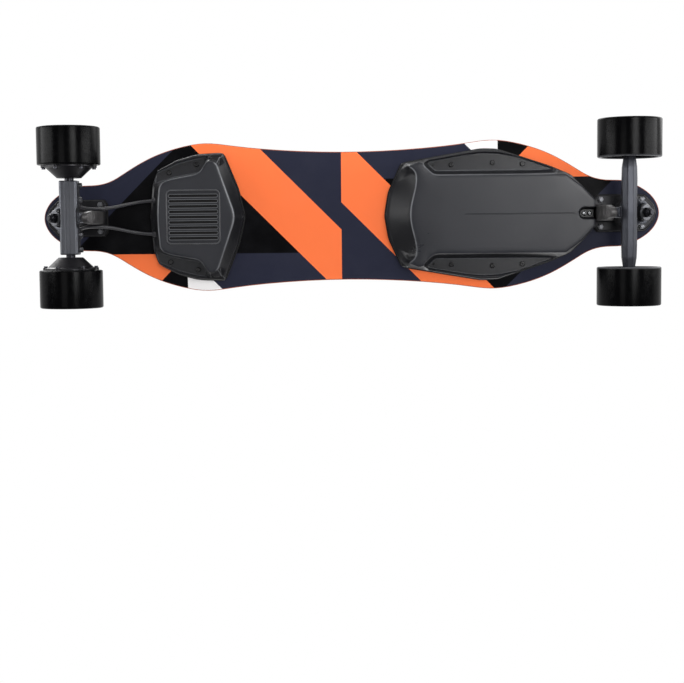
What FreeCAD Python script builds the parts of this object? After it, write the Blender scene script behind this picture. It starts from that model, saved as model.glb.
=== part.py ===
"""Electric longboard with two hub motors: one STEP file per sub-part, in millimetres.

The board stands on its wheels on the plane Z = 0. +X is the nose (front), +Y is the rider's left, +Z is up,
and the origin lies on the ground below the middle of the deck.
"""

import FreeCAD, Part
import math
import os

V = FreeCAD.Vector

# ---------------------------------------------------------------- driving dimensions
DECK_HALF_LENGTH = 482.5
DECK_THICKNESS = 11.0
FLAT_HALF_WIDTH = 62.0  # the middle of the deck is flat, and its sides curl up
CONCAVE_RADIUS = 264.0
EDGE_ROUND = 2.5
GRIP_THICKNESS = 0.9
GRIP_INSET = 1.6

WHEEL_RADIUS = 48.0
WHEEL_BASE = 850.0
TRUCK_HEIGHT = 66.0  # from the axle to the top of the baseplate
RISER_THICKNESS = 3.0
BASEPLATE_THICKNESS = 6.0

AXLE_Z = WHEEL_RADIUS
PLATE_TOP_Z = AXLE_Z + TRUCK_HEIGHT
PLATE_LOW_Z = PLATE_TOP_Z - BASEPLATE_THICKNESS
DECK_LOW_Z = PLATE_TOP_Z + RISER_THICKNESS
DECK_TOP_Z = DECK_LOW_Z + DECK_THICKNESS
AXLE_X = WHEEL_BASE / 2

# Trucks, in a frame of their own: X points outboard from the axle, and Z is the board's.
STEER_ANGLE = math.radians(38.0)
STEER = V(math.cos(STEER_ANGLE), 0, math.sin(STEER_ANGLE))  # steering axis, outboard and up
KING = V(math.sin(STEER_ANGLE), 0, -math.cos(STEER_ANGLE))  # kingpin axis, outboard and down
PIVOT = V(-26.0, 0, 45.0)
PIVOT_TO_RING = 60.0
RING = PIVOT + STEER * PIVOT_TO_RING
BOLT_X = (-34.5, 29.0)
BOLT_Y = 20.65
BOLT_RADIUS = 2.4

KINGPIN_RADIUS = 4.75
BUSHING_BORE = 5.0
RING_RADIUS = 19.0
RING_BORE = 8.0
RING_HALF_HEIGHT = 5.0
RING_WEB = 2.0  # half thickness of the ring between the two bushings
BOARD_BUSHING = 15.0
ROAD_BUSHING = 11.0
CUP_THICKNESS = 1.3
NUT_HEIGHT = 8.5
BUSHING_GAP = 0.1

# Wheels
FRONT_WHEEL_IN = 82.0
FRONT_WHEEL_OUT = 140.0
MOTOR_WHEEL_IN = 80.0
MOTOR_WHEEL_OUT = 138.0
AXLE_RADIUS = 4.0
RUNNING = 0.05
BEARING_RADIUS = 11.0
BEARING_WIDTH = 7.0
CORE_RADIUS = 28.0
MOTOR_SHAFT_RADIUS = 7.0
MOTOR_CAN_RADIUS = 37.5
MOTOR_CONE_TIP = 60.5
HANGER_END = 56.5
CAP_SCREW_RADIUS = 38.0
CAP_SCREWS = 6
CAP_SCREW_SEAT = 76.2
CAP_SCREW_TURN = -12.0
MAGNETS = 14

# Covers under the deck. Half outlines, from the middle line outwards.
GASKET_THICKNESS = 2.0
BATTERY_LOW_Z = 79.0
ESC_LOW_Z = 83.0
RIM_LOW_Z = 104.0
FLANGE_LOW_Z = 110.5
WALL = 3.0

BATTERY_RIM = [
    (57, 0), (63, 36), (83, 80), (206, 101), (232, 100), (312, 73), (345, 59), (364, 40), (378, 23),
]
BATTERY_BASE = [(57, 0), (63, 36), (83, 80), (124, 87), (140, 67), (334, 67), (362, 38), (378, 23)]
BATTERY_FACE = [(94, 0), (97, 26), (101, 68), (116, 73), (133, 61), (331, 61), (360, 32), (378, 17)]
BATTERY_POCKET = [(137, 68), (124, 81), (128, 83), (208, 95), (231, 94), (310, 69)]
BATTERY_SCREWS = [(160, 77.5), (224, 80), (270, 77.5)]
TONGUE_SCREW_X = 365.0
TONGUE_SLOT_X = 357.0
TONGUE_SLOT_WIDTH = 18.0
TONGUE_SEAT_Z = 98.0
NOSE_BLOCK_X = 351.0

ESC_RIM = [(-163.5, 0), (-174, 44), (-196.5, 99), (-238, 98), (-262, 93), (-299, 72), (-306, 52), (-311, 0)]
ESC_BASE = [(-163.5, 0), (-174, 44), (-196.5, 99), (-220, 98), (-230, 74), (-279, 63), (-306, 52), (-311, 0)]
ESC_FACE = [(-181, 0), (-185, 22), (-208, 81), (-221, 87), (-232, 69), (-279, 58), (-299, 50), (-303, 0)]
ESC_POCKET = [(-221, 92), (-231, 75), (-279, 64), (-301, 55), (-295, 68), (-260, 88), (-238, 92.5)]
ESC_SCREWS = [(-281, 70), (-238, 82.5)]
VENT_CENTRE_X = -240.5
VENT_SIZE = 82.0
VENT_SLOTS = 9
VENT_PITCH = 8.2
VENT_SLOT_WIDTH = 4.0

SCREW_RADIUS = 2.0
SCREW_HEAD_RADIUS = 4.0
SCREW_HEAD_HEIGHT = 2.6
SCREW_BITE = 7.0

# Motor cables: the left one's route, from its grommet to its hole in the rear hanger.
CABLE_RADIUS = 2.5
CABLE_ROUTE = [
    (-307.0, 26.0, 99.0),
    (-322.0, 25.0, 98.0),
    (-341.0, 21.5, 93.0),
    (-362.0, 16.5, 86.0),
    (-383.0, 13.6, 78.0),
    (-400.0, 13.6, 69.0),
    (-411.5, 16.5, 59.5),
    (-417.6, 19.8, 54.9),
]

CELL_RADIUS = 9.2
CELL_LENGTH = 65.0
CELL_Z = 95.0
CELL_COLUMNS_X = (107.0, 174.0, 241.0)
CELL_ROWS = 6
CELL_PITCH = 18.8
STRIP_THICKNESS = 0.4

# The charge port and the power switch: in the controller cover's two side walls, pointing outwards.
SOCKET_X = -207.0
SOCKET_Z = 96.5
SOCKET_IN = 76.0
SOCKET_OUT = 92.5
SOCKET_RADIUS = 6.0
SWITCH_DEPTH = 9.0
BUTTON_RADIUS = 4.4
BUTTON_TRAVEL = 1.2

EXTRA = 60.0  # more than enough to cut through whatever lies beyond


# ---------------------------------------------------------------- shape helpers
def box(x, y, z):
    """A box from three (low, high) pairs."""
    return Part.makeBox(x[1] - x[0], y[1] - y[0], z[1] - z[0], V(x[0], y[0], z[0]))


def rod(start, direction, length, radius):
    return Part.makeCylinder(radius, length, start, direction)


def tube(start, direction, length, radius, bore):
    return rod(start, direction, length, radius).cut(rod(start, direction, length, bore))


def hexagon(start, direction, length, flats):
    """A hexagonal prism along direction, measured across its flats."""
    radius = flats / math.sqrt(3)
    turn = FreeCAD.Rotation(V(0, 0, 1), direction)
    angles = [math.radians(60 * n) for n in range(7)]
    corners = [V(radius * math.cos(t), radius * math.sin(t), 0) for t in angles]
    face = Part.Face(Part.makePolygon([start + turn.multVec(c) for c in corners]))
    return face.extrude(direction * length)


def polygon(points, z):
    return Part.makePolygon([V(x, y, z) for x, y in [*points, points[0]]])


def prism(points, z_low, z_high):
    return Part.Face(polygon(points, z_low)).extrude(V(0, 0, z_high - z_low))


def whole(half):
    """Both sides of a half outline, which starts on the middle line."""
    return half + [(x, -y) for x, y in reversed(half) if y != 0]


def mirrored(points):
    return [(x, -y) for x, y in points]


def inset(points, distance):
    """A closed polygon with each side moved inwards by distance."""
    area = sum(a[0] * b[1] - b[0] * a[1] for a, b in zip(points, points[1:] + points[:1]))
    turn = math.copysign(1, area)
    moved = []
    for before, here, after in zip(points[-1:] + points[:-1], points, points[1:] + points[:1]):
        n1 = V(before[1] - here[1], here[0] - before[0], 0).normalize() * turn
        n2 = V(here[1] - after[1], after[0] - here[0], 0).normalize() * turn
        shift = (n1 + n2) * (distance / (1 + n1.dot(n2)))
        moved.append((here[0] + shift.x, here[1] + shift.y))
    return moved


def loft(low_points, z_low, high_points, z_high):
    return Part.makeLoft([polygon(low_points, z_low), polygon(high_points, z_high)], True, True)


def rounded_box(x, y, z, radius):
    """A box whose upright edges are rounded."""
    solid = box(x, y, z)
    upright = [e for e in solid.Edges if abs(e.Vertexes[0].Z - e.Vertexes[-1].Z) > 0.5 * (z[1] - z[0])]
    return solid.makeFillet(radius, upright)


def revolved(profile, centre, axis):
    """Turns (radius, height) points about axis, with heights along it from centre."""
    side = V(0, 1, 0) if abs(axis.y) < 0.5 else V(1, 0, 0)
    points = [centre + side * r + axis * h for r, h in profile]
    return Part.Face(Part.makePolygon([*points, points[0]])).revolve(centre, axis, 360)


def flipped(shape):
    """The same shape on the other side of the board."""
    return shape.mirror(V(0, 0, 0), V(0, 1, 0))


def both_sides(shapes):
    return [*shapes, *[flipped(s) for s in shapes]]


def at_nose(shape):
    """Puts a shape from the trucks' frame at the front axle."""
    return shape.translated(V(AXLE_X, 0, 0))


def at_tail(shape):
    return shape.rotated(V(0, 0, 0), V(0, 0, 1), 180).translated(V(-AXLE_X, 0, 0))


def fused(shapes):
    return shapes[0].multiFuse(shapes[1:]).removeSplitter()


def export(name, shapes):
    """Writes a node: one solid, or a group of separate solids."""
    solids = [s for shape in (shapes if isinstance(shapes, list) else [shapes]) for s in shape.Solids]
    if not solids or not all(s.isValid() and s.isClosed() for s in solids):
        raise ValueError(name + " holds a bad solid")
    Part.makeCompound(solids).exportStep("parts/" + name + ".step")


# ---------------------------------------------------------------- deck
OUTLINE = [
    (0, 100), (100, 103.5), (185, 112), (226, 116), (264, 110.5), (310, 95), (352, 71.5),
    (378, 57), (402, 52), (428, 50.5), (450, 42), (467, 30.5), (478, 16.5),
]


def plan_prism(shrink, z_low, z_high):
    """The deck's plan shape as an upright prism, with its edge moved inwards by shrink."""
    quarter = [V(x * (1 - shrink / DECK_HALF_LENGTH), y - shrink, 0) for x, y in OUTLINE]
    tip = V(DECK_HALF_LENGTH - shrink, 0, 0)
    tail_left = [V(-p.x, p.y, 0) for p in reversed(quarter[1:])]
    left = [*tail_left, *quarter]
    right = [V(p.x, -p.y, 0) for p in reversed(left)]
    curve = Part.BSplineCurve()
    curve.interpolate(Points=[*left, tip, *right, V(-tip.x, 0, 0)], PeriodicFlag=True)
    cuts = curve.getKnots()[::4]  # one long edge would make its areas and volumes inexact
    face = Part.Face(Part.Wire([curve.toShape(a, b) for a, b in zip(cuts, cuts[1:])]))
    return face.translated(V(0, 0, z_low)).extrude(V(0, 0, z_high - z_low))


def concave_layer(low, high):
    """A board-long layer that follows the deck's concave, from low to high above its underside."""
    def edge(offset, sign):
        radius = CONCAVE_RADIUS - offset
        angles = [0, 0.12, 0.245]
        centre = V(0, sign * FLAT_HALF_WIDTH, DECK_LOW_Z + CONCAVE_RADIUS)
        return [centre + V(0, sign * radius * math.sin(a), -radius * math.cos(a)) for a in angles]

    sides = {(offset, sign): edge(offset, sign) for offset in (low, high) for sign in (1, -1)}
    arcs = [Part.Arc(*points).toShape() for points in sides.values()]
    joins = [
        (sides[low, 1][0], sides[low, -1][0]),
        (sides[high, 1][0], sides[high, -1][0]),
        (sides[low, 1][2], sides[high, 1][2]),
        (sides[low, -1][2], sides[high, -1][2]),
    ]
    lines = [Part.LineSegment(a, b).toShape() for a, b in joins]
    section = Part.Face(Part.Wire(Part.__sortEdges__(arcs + lines)))
    reach = DECK_HALF_LENGTH + EXTRA
    return section.translated(V(-reach, 0, 0)).extrude(V(2 * reach, 0, 0))


def cover_screw_places():
    return both_sides_points(BATTERY_SCREWS + ESC_SCREWS) + [(TONGUE_SCREW_X, 0)]


def both_sides_points(points):
    return points + mirrored(points)


def truck_bolt_places():
    places = []
    for x in BOLT_X:
        for y in (BOLT_Y, -BOLT_Y):
            places += [(AXLE_X + x, y), (-AXLE_X - x, y)]
    return places


WIRE_CHANNEL_X = (-196.0, 112.0)
WIRE_EXIT = 14.0
WIRE_HALF_WIDTH = 7.0
WIRE_Z = (DECK_LOW_Z + 3.5, DECK_LOW_Z + 7.0)
WIRE_DROP = 8.0


def wire_channel(gap):
    """The flat channel for the power lead: along the deck's core, with a drop at each end."""
    x_low, x_high = WIRE_CHANNEL_X
    y = (-WIRE_HALF_WIDTH + gap, WIRE_HALF_WIDTH - gap)
    z_high = WIRE_Z[1] - gap
    z_drop = DECK_LOW_Z - WIRE_DROP
    run = box((x_low + gap, x_high - gap), y, (WIRE_Z[0] + gap, z_high))
    tail_drop = box((x_low + gap, x_low + WIRE_EXIT / 2 - gap), y, (z_drop, z_high))
    nose_drop = box((x_high - WIRE_EXIT / 2 + gap, x_high - gap), y, (z_drop, z_high))
    return fused([run, tail_drop, nose_drop])


def deck():
    solid = plan_prism(0, DECK_LOW_Z - 5, DECK_TOP_Z + 20).common(concave_layer(0, DECK_THICKNESS))
    rim = [e for e in solid.Edges if not isinstance(e.Curve, Part.Line)]
    solid = solid.makeFillet(EDGE_ROUND, rim)
    up = V(0, 0, 1)
    low = DECK_LOW_Z - 5
    holes = [rod(V(x, y, low), up, DECK_THICKNESS + 20, BOLT_RADIUS + 0.2) for x, y in truck_bolt_places()]
    sinks = [bolt_head(x, y, 0.15) for x, y in truck_bolt_places()]
    bite = DECK_LOW_Z + SCREW_BITE + 0.5 - low
    inserts = [rod(V(x, y, low), up, bite, SCREW_RADIUS + 0.1) for x, y in cover_screw_places()]
    return solid.cut([*holes, *sinks, *inserts, wire_channel(0)])


def grip_tape():
    return plan_prism(GRIP_INSET, DECK_LOW_Z, DECK_TOP_Z + 20).common(
        concave_layer(DECK_THICKNESS, DECK_THICKNESS + GRIP_THICKNESS)
    )


# ---------------------------------------------------------------- truck hardware on the deck
HEAD_SINK = 0.2
HEAD_HEIGHT = 2.6
HEAD_RADIUS = 4.7
LOCK_NUT_HEIGHT = 5.5
BOLT_PROUD = 2.0


def bolt_head(x, y, gap):
    """A countersunk head just below the deck's top, with gap added all round."""
    top = DECK_TOP_Z - HEAD_SINK
    cone = Part.makeCone(BOLT_RADIUS + gap, HEAD_RADIUS + gap, HEAD_HEIGHT, V(x, y, top - HEAD_HEIGHT))
    return cone.fuse(rod(V(x, y, top), V(0, 0, 1), gap + HEAD_SINK, HEAD_RADIUS + gap)) if gap else cone


def truck_bolt(x, y):
    low = PLATE_LOW_Z - LOCK_NUT_HEIGHT - BOLT_PROUD
    shank = rod(V(x, y, low), V(0, 0, 1), DECK_TOP_Z - HEAD_SINK - HEAD_HEIGHT - low, BOLT_RADIUS)
    socket = hexagon(V(x, y, DECK_TOP_Z - HEAD_SINK - 1.8), V(0, 0, 1), 3, 3.2)
    return fused([shank, bolt_head(x, y, 0)]).cut(socket)


def truck_nut(x, y):
    hexa = hexagon(V(x, y, PLATE_LOW_Z - LOCK_NUT_HEIGHT + 1.2), V(0, 0, 1), LOCK_NUT_HEIGHT - 1.2, 8.0)
    crown = Part.makeCone(3.2, 3.9, 1.2, V(x, y, PLATE_LOW_Z - LOCK_NUT_HEIGHT))
    return hexa.fuse(crown).cut(rod(V(x, y, PLATE_LOW_Z - 20), V(0, 0, 1), 40, BOLT_RADIUS))


def plate_outline(z, shrink):
    """The baseplate's outline: square inboard, with a round nose that carries the kingpin's seat."""
    half = [(-44, 0), (-44, 22), (-38, 28), (22, 28), (34, 27), (40, 21), (48, 12), (51, 0)]
    points = [(x * (1 - shrink / 50), y * (1 - shrink / 28)) for x, y in half]
    return polygon(whole(points), z)


def plate(z_low, z_high, shrink):
    solid = Part.Face(plate_outline(z_low, shrink)).extrude(V(0, 0, z_high - z_low))
    upright = [e for e in solid.Edges if abs(e.Vertexes[0].Z - e.Vertexes[-1].Z) > 1]
    return solid.makeFillet(3.0, upright)


def plate_holes(z):
    places = [(x, y) for x in BOLT_X for y in (BOLT_Y, -BOLT_Y)]
    return [rod(V(x, y, z - 20), V(0, 0, 1), 40, BOLT_RADIUS + 0.2) for x, y in places]


def riser_pad():
    return plate(PLATE_TOP_Z, DECK_LOW_Z, -1.2).cut(plate_holes(PLATE_TOP_Z))


BOARD_SEAT = -(RING_WEB + BOARD_BUSHING + CUP_THICKNESS)  # along the kingpin, from the ring's middle
HEAD_SEAT = BOARD_SEAT - 5.0
KINGPIN_HEAD_HEIGHT = 5.5
CUP_HOUSING_RADIUS = 9.0
PIVOT_CUP_RADIUS = 7.2
PIVOT_TIP_RADIUS = 5.4


def baseplate(tower_half_width):
    """Plate, round bushing seat, kingpin boss, and the tower that holds the pivot cup."""
    flat = plate(PLATE_LOW_Z, PLATE_TOP_Z, 0)
    lower_edges = [e for e in flat.Edges if e.BoundBox.ZMax < PLATE_LOW_Z + 0.01]
    flat = flat.makeFillet(1.5, lower_edges)
    turret = Part.makeCone(21.0, 23.5, 4.0, V(9, 0, PLATE_LOW_Z - 4.0))
    boss = rod(RING + KING * BOARD_SEAT, KING * -1, 34, 15.5)
    boss = boss.common(box((-60, 60), (-30, 30), (60, PLATE_TOP_Z - 1)))
    web = [(-44, 110), (-12, 110), (-19, 84), (-27, 60), (-24, 52), (-36, 38), (-41, 52), (-44, 76)]
    face = Part.Face(Part.makePolygon([V(x, -tower_half_width, z) for x, z in [*web, web[0]]]))
    tower = face.extrude(V(0, 2 * tower_half_width, 0))
    housing = rod(PIVOT - STEER * 11, STEER, 13.5, CUP_HOUSING_RADIUS)
    solid = fused([flat, turret, boss, tower, housing])
    arm_room = rod(PIVOT + STEER * 2.5, STEER, 40, 10.5)
    head_room = rod(RING + KING * HEAD_SEAT, KING * -1, EXTRA, 8.6)
    shank_room = rod(RING + KING * BOARD_SEAT + KING, KING * -1, 20, KINGPIN_RADIUS + 0.03)
    cup_room = rod(PIVOT - STEER * 8, STEER, EXTRA, PIVOT_CUP_RADIUS + 0.05)
    washer_room = rod(RING + KING * BOARD_SEAT, KING, 8, 15.4)
    rooms = [arm_room, head_room, shank_room, cup_room, washer_room]
    return solid.cut([*rooms, *plate_holes(PLATE_LOW_Z)])


def pivot_cup():
    outer = rod(PIVOT - STEER * 7.9, STEER, 10.2, PIVOT_CUP_RADIUS)
    radius = PIVOT_TIP_RADIUS + 0.3
    room = rod(PIVOT, STEER, EXTRA, radius).fuse(Part.makeSphere(radius, PIVOT))
    return outer.cut(room)


def kingpin():
    head = hexagon(RING + KING * HEAD_SEAT, KING * -1, KINGPIN_HEAD_HEIGHT, 13.5)
    shank = rod(RING + KING * (HEAD_SEAT - 1), KING, 1 - HEAD_SEAT + KINGPIN_END, KINGPIN_RADIUS)
    tip = Part.makeCone(KINGPIN_RADIUS, KINGPIN_RADIUS - 1, 1.2, RING + KING * KINGPIN_END, KING)
    return fused([head, shank, tip])


ROAD_CUP = RING_WEB + ROAD_BUSHING
NUT_SEAT = ROAD_CUP + CUP_THICKNESS
KINGPIN_END = NUT_SEAT + NUT_HEIGHT + 2.0


def kingpin_nut():
    body = hexagon(RING + KING * NUT_SEAT, KING, NUT_HEIGHT - 2, 14.3)
    collar = Part.makeCone(7.0, 5.9, 2.0, RING + KING * (NUT_SEAT + NUT_HEIGHT - 2), KING)
    return fused([body, collar]).cut(rod(RING, KING, EXTRA, KINGPIN_RADIUS + 0.02))


def cup_washer(seat, radius, towards):
    """A cupped washer whose rim leans over its bushing."""
    thick = CUP_THICKNESS
    rim = [(radius, 0), (radius + 1.4, 1.6), (radius + 0.4, 2.2), (radius - 0.6, thick)]
    profile = [(BUSHING_BORE, 0), *rim, (BUSHING_BORE, thick)]
    return revolved(profile, RING + KING * seat, KING * towards)


def board_bushing():
    low = BOARD_SEAT + CUP_THICKNESS + BUSHING_GAP
    high = -RING_WEB - BUSHING_GAP
    side = [(11.8, low), (12.9, low + 2.5), (12.9, high - 2.5), (12.2, high)]
    profile = [(BUSHING_BORE, low), *side, (BUSHING_BORE, high)]
    return revolved(profile, RING, KING)


def road_bushing():
    low = RING_WEB + BUSHING_GAP
    high = ROAD_CUP - BUSHING_GAP
    profile = [(BUSHING_BORE, low), (12.4, low), (12.8, low + 2.5), (10.4, high), (BUSHING_BORE, high)]
    return revolved(profile, RING, KING)


# ---------------------------------------------------------------- hangers
def bar_rear():
    """The motor truck's bar: an extruded profile with two grooves below and a waist at its middle."""
    section = [
        (-14, 38), (-11, 35.4), (-2.6, 35), (-1.6, 36.2), (-0.6, 35), (2.8, 35), (4.0, 36.4), (5.2, 35),
        (11, 35.4), (14, 38), (14, 56), (10, 61), (-10, 61), (-14, 56),
    ]
    face = Part.Face(Part.makePolygon([V(x, -HANGER_END, z) for x, z in [*section, section[0]]]))
    bar = face.extrude(V(0, 2 * HANGER_END, 0))
    waist = [(12, -12), (16, -24), (16, 24), (12, 12)]
    cuts = [prism(waist, 20, 80), prism([(-x, y) for x, y in waist], 20, 80)]
    return bar.cut(cuts)


def bar_front():
    """The plain truck's bar: an eight-sided beam, thickest a little in from its ends."""
    corner = 0.42
    quarter = [(1, corner), (corner, 1)]
    upper = quarter + [(-x, z) for x, z in reversed(quarter)]
    eight = upper + [(-x, -z) for x, z in upper]

    def section(y, half_x, half_z):
        ring = [V(x * half_x, y, AXLE_Z + z * half_z) for x, z in eight]
        return Part.makePolygon([*ring, ring[0]])

    stations = [(0, 11.0, 12.5), (50, 11.5, 11.5), (68, 11.0, 10.8), (86.5, 8.2, 8.2)]
    spans = []
    for (y0, a0, b0), (y1, a1, b1) in zip(stations, stations[1:]):
        span = Part.makeLoft([section(y0, a0, b0), section(y1, a1, b1)], True, True)
        spans += [span, flipped(span)]
    return fused(spans)


def local_rectangle(along, away, y, half_along, half_away):
    """A rectangle in the plane Y = y, placed and turned with the steering axis from the ring's middle."""
    corners = [(-1, -1), (1, -1), (1, 1), (-1, 1), (-1, -1)]
    middle = RING + STEER * along + KING * away + V(0, y, 0)
    return Part.makePolygon([middle + STEER * (half_along * a) + KING * (half_away * b) for a, b in corners])


def yoke(arm_reach):
    """The ring round the bushings, its two arms, and the beam that ends in the pivot's stub."""
    ring = rod(RING - KING * RING_HALF_HEIGHT, KING, 2 * RING_HALF_HEIGHT, RING_RADIUS)
    beam_face = Part.Face(local_rectangle(-32, 1, -8, 20, 6))
    beam = beam_face.extrude(V(0, 16, 0))
    saddle_face = Part.Face(local_rectangle(-36, 9, -15, 8.5, 8))
    saddle = saddle_face.extrude(V(0, 30, 0))
    stub = Part.makeCone(7.2, PIVOT_TIP_RADIUS, 10.0, PIVOT + STEER * 13, STEER * -1)
    tip = rod(PIVOT, STEER, 4, PIVOT_TIP_RADIUS).fuse(Part.makeSphere(PIVOT_TIP_RADIUS, PIVOT))
    arm_ends = [local_rectangle(-33, 9, arm_reach, 7, 5), local_rectangle(-6, 2, 13, 6, 5)]
    arm = Part.makeLoft(arm_ends, True, True)
    solid = fused([ring, beam, saddle, stub, tip, arm, flipped(arm)])
    board_seat = rod(RING - KING * RING_WEB, KING * -1, EXTRA, 13.3)
    road_seat = rod(RING + KING * RING_WEB, KING, EXTRA, 13.6)
    return solid, [rod(RING - KING * 20, KING, 40, RING_BORE), board_seat, road_seat]


CLAMP_BOLT_Y = (27.0, 49.0)


def hanger_rear():
    body, cuts = yoke(32)
    sockets = both_sides([rod(V(0, 18, AXLE_Z), V(0, 1, 0), EXTRA, MOTOR_SHAFT_RADIUS + 0.03)])
    bolt_rooms = both_sides([rod(V(-20, y, AXLE_Z), V(1, 0, 0), 14.2, 2.5) for y in CLAMP_BOLT_Y])
    cable_holes = both_sides([cable_hole()])
    return fused([bar_rear(), body]).cut([*cuts, *sockets, *bolt_rooms, *cable_holes])


def cable_hole():
    """Where the motor cable goes into the rear hanger, in the trucks' frame."""
    (x0, y0, z0), (x1, y1, z1) = CABLE_ROUTE[-2:]
    start = V(-(x0 + AXLE_X), y0, z0)
    way = V(-(x1 - x0), y1 - y0, z1 - z0).normalize()
    return rod(start - way * 4, way, 4 + 12, CABLE_RADIUS + 0.6)


def clamp_bolt(y):
    head = rod(V(-19.2, y, AXLE_Z), V(1, 0, 0), 5.0, 4.0)
    shank = rod(V(-14.2, y, AXLE_Z), V(1, 0, 0), 6.9, 2.45)
    return fused([head, shank]).cut(hexagon(V(-20, y, AXLE_Z), V(1, 0, 0), 3.5, 4.0))


def hanger_front():
    body, cuts = yoke(27)
    axle_bore = rod(V(0, -100, AXLE_Z), V(0, 1, 0), 200, AXLE_RADIUS + 0.02)
    return fused([bar_front(), body]).cut([*cuts, axle_bore])


# ---------------------------------------------------------------- front wheels, on the left side of the board
FRONT_BEARINGS = (88.0, 124.0)
AXLE_END = 139.6


def turned(profile):
    """Turns (radius, distance from the board's middle) points about the axle."""
    return revolved(profile, V(0, 0, AXLE_Z), V(0, 1, 0))


def front_tyre():
    r = WHEEL_RADIUS
    dish = [(CORE_RADIUS, 8), (CORE_RADIUS + 3, 6), (r - 9, 0.8), (r - 6, 0)]
    lip = [(r - 3, 0.8), (r - 0.8, 3), (r, 6)]
    inner = [(radius, FRONT_WHEEL_IN + depth) for radius, depth in dish + lip]
    outer = [(radius, FRONT_WHEEL_OUT - depth) for radius, depth in dish + lip]
    return turned(inner + outer[::-1])


def front_core():
    """The wheel's hard core: a hub with two bearing seats, joined to its rim by a web and spokes."""
    low, high = FRONT_BEARINGS
    rim = turned([(CORE_RADIUS - 3, 91), (CORE_RADIUS, 90), (CORE_RADIUS, 132), (CORE_RADIUS - 3, 131)])
    inner_seat = [(5, low + 7), (11, low + 7), (11, low), (15, low + 1)]
    outer_seat = [(15, high + 6), (11, high + 7), (11, high), (5, high)]
    hub = turned(inner_seat + outer_seat)
    web = turned([(14.5, 106), (CORE_RADIUS - 2.5, 106), (CORE_RADIUS - 2.5, 114), (14.5, 114)])
    spoke = box((14, CORE_RADIUS - 1.5), (93, 129), (AXLE_Z - 1.8, AXLE_Z + 1.8))
    spokes = [spoke.rotated(V(0, 0, AXLE_Z), V(0, 1, 0), 60 * n) for n in range(6)]
    return fused([rim, hub, web, *spokes])


def bearing(start, inner, outer, width):
    """A shielded ball bearing: two races with a shield set back between them."""
    r1 = inner + 0.25 * (outer - inner)
    r2 = outer - 0.2 * (outer - inner)
    face = [(inner, 0), (r1, 0), (r1, 0.5), (r2, 0.5), (r2, 0), (outer, 0)]
    near = [(radius, start + depth) for radius, depth in face]
    far = [(radius, start + width - depth) for radius, depth in face]
    return turned(near + far[::-1])


def front_bearings():
    return [bearing(y, AXLE_RADIUS + RUNNING, BEARING_RADIUS, BEARING_WIDTH) for y in FRONT_BEARINGS]


def front_axle():
    return rod(V(0, -AXLE_END, AXLE_Z), V(0, 1, 0), 2 * AXLE_END, AXLE_RADIUS)


def axle_nut():
    """A speed washer each side of the wheel, and the nut outside it."""
    start = FRONT_BEARINGS[1] + BEARING_WIDTH
    nut = hexagon(V(0, start + 1.6, AXLE_Z), V(0, 1, 0), 6.5, 13.0)
    washers = [tube(V(0, y, AXLE_Z), V(0, 1, 0), 1.1, 6.4, AXLE_RADIUS) for y in (86.7, start + 0.3)]
    return [nut.cut(rod(V(0, 100, AXLE_Z), V(0, 1, 0), EXTRA, AXLE_RADIUS)), *washers]


# ---------------------------------------------------------------- hub motors, on the left side of the board
def motor_tyre():
    a = MOTOR_WHEEL_IN
    b = MOTOR_WHEEL_OUT
    r = WHEEL_RADIUS
    bore = MOTOR_CAN_RADIUS + 0.02
    inner = [(bore, a), (r - 2, a), (r - 0.6, a + 0.8), (r, a + 2.4)]
    outer = [(r, b - 6), (r - 0.8, b - 3), (r - 3, b - 0.8), (r - 5.5, b), (bore, b)]
    return turned(inner + outer)


def motor_can():
    """The rotor: a ring that carries the magnets, closed outside by a dished end plate."""
    r = MOTOR_CAN_RADIUS
    ring = turned([(r - 4, 81), (r, 81), (r, 136), (r - 4, 136)])
    inside = [(11, 127), (16, 127), (16, 131), (r - 3, 131)]
    outside = [(r - 3, 134.5), (26, 134.5), (23, 133), (17, 133), (15, 136), (6, 136), (6, 134), (11, 134)]
    end = turned(inside + outside)
    pocket = rod(V(29.5, 133.2, AXLE_Z), V(0, 1, 0), 5, 3.4)
    pockets = [round_axle(pocket, 30 + 60 * n) for n in range(6)]
    return fused([ring, end]).cut(pockets)


def motor_magnets():
    arc = turned([(31.6, 88), (33.4, 88), (33.4, 122), (31.6, 122)])
    gap = box((30, 36), (80, 130), (AXLE_Z - 0.9, AXLE_Z + 0.9))
    return arc.cut([round_axle(gap, 360 * n / MAGNETS) for n in range(MAGNETS)])


def cap_screw_angles():
    return [CAP_SCREW_TURN + 360 / CAP_SCREWS * n for n in range(CAP_SCREWS)]


def round_axle(shape, angle):
    """Turns a shape about the axle, from +X towards the ground as angle grows."""
    return shape.rotated(V(0, 0, AXLE_Z), V(0, 1, 0), angle)


def motor_cone():
    """The cone-shaped inner cover, with a lug for each screw and a seat for the inner bearing."""
    a = MOTOR_WHEEL_IN
    outside = [(7.6, MOTOR_CONE_TIP), (18.6, MOTOR_CONE_TIP), (34.5, 75.5), (40, 77.2), (40, a - 0.1)]
    spigot = [(33.4, a - 0.1), (33.4, a + 4), (30, a + 4)]
    inside = [(30, 77), (17, 69), (13, 69), (13, 62), (7.6, 62)]
    shell = turned(outside + spigot + inside)
    lug = rod(V(CAP_SCREW_RADIUS, CAP_SCREW_SEAT, AXLE_Z), V(0, 1, 0), a - 0.1 - CAP_SCREW_SEAT, 4.2)
    hole = rod(V(CAP_SCREW_RADIUS, 70, AXLE_Z), V(0, 1, 0), 20, 1.6)
    head_room = rod(V(CAP_SCREW_RADIUS, 60, AXLE_Z), V(0, 1, 0), CAP_SCREW_SEAT - 60, 3.1)
    cuts = [round_axle(cut, angle) for cut in (hole, head_room) for angle in cap_screw_angles()]
    return fused([shell, *[round_axle(lug, angle) for angle in cap_screw_angles()]]).cut(cuts)


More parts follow.
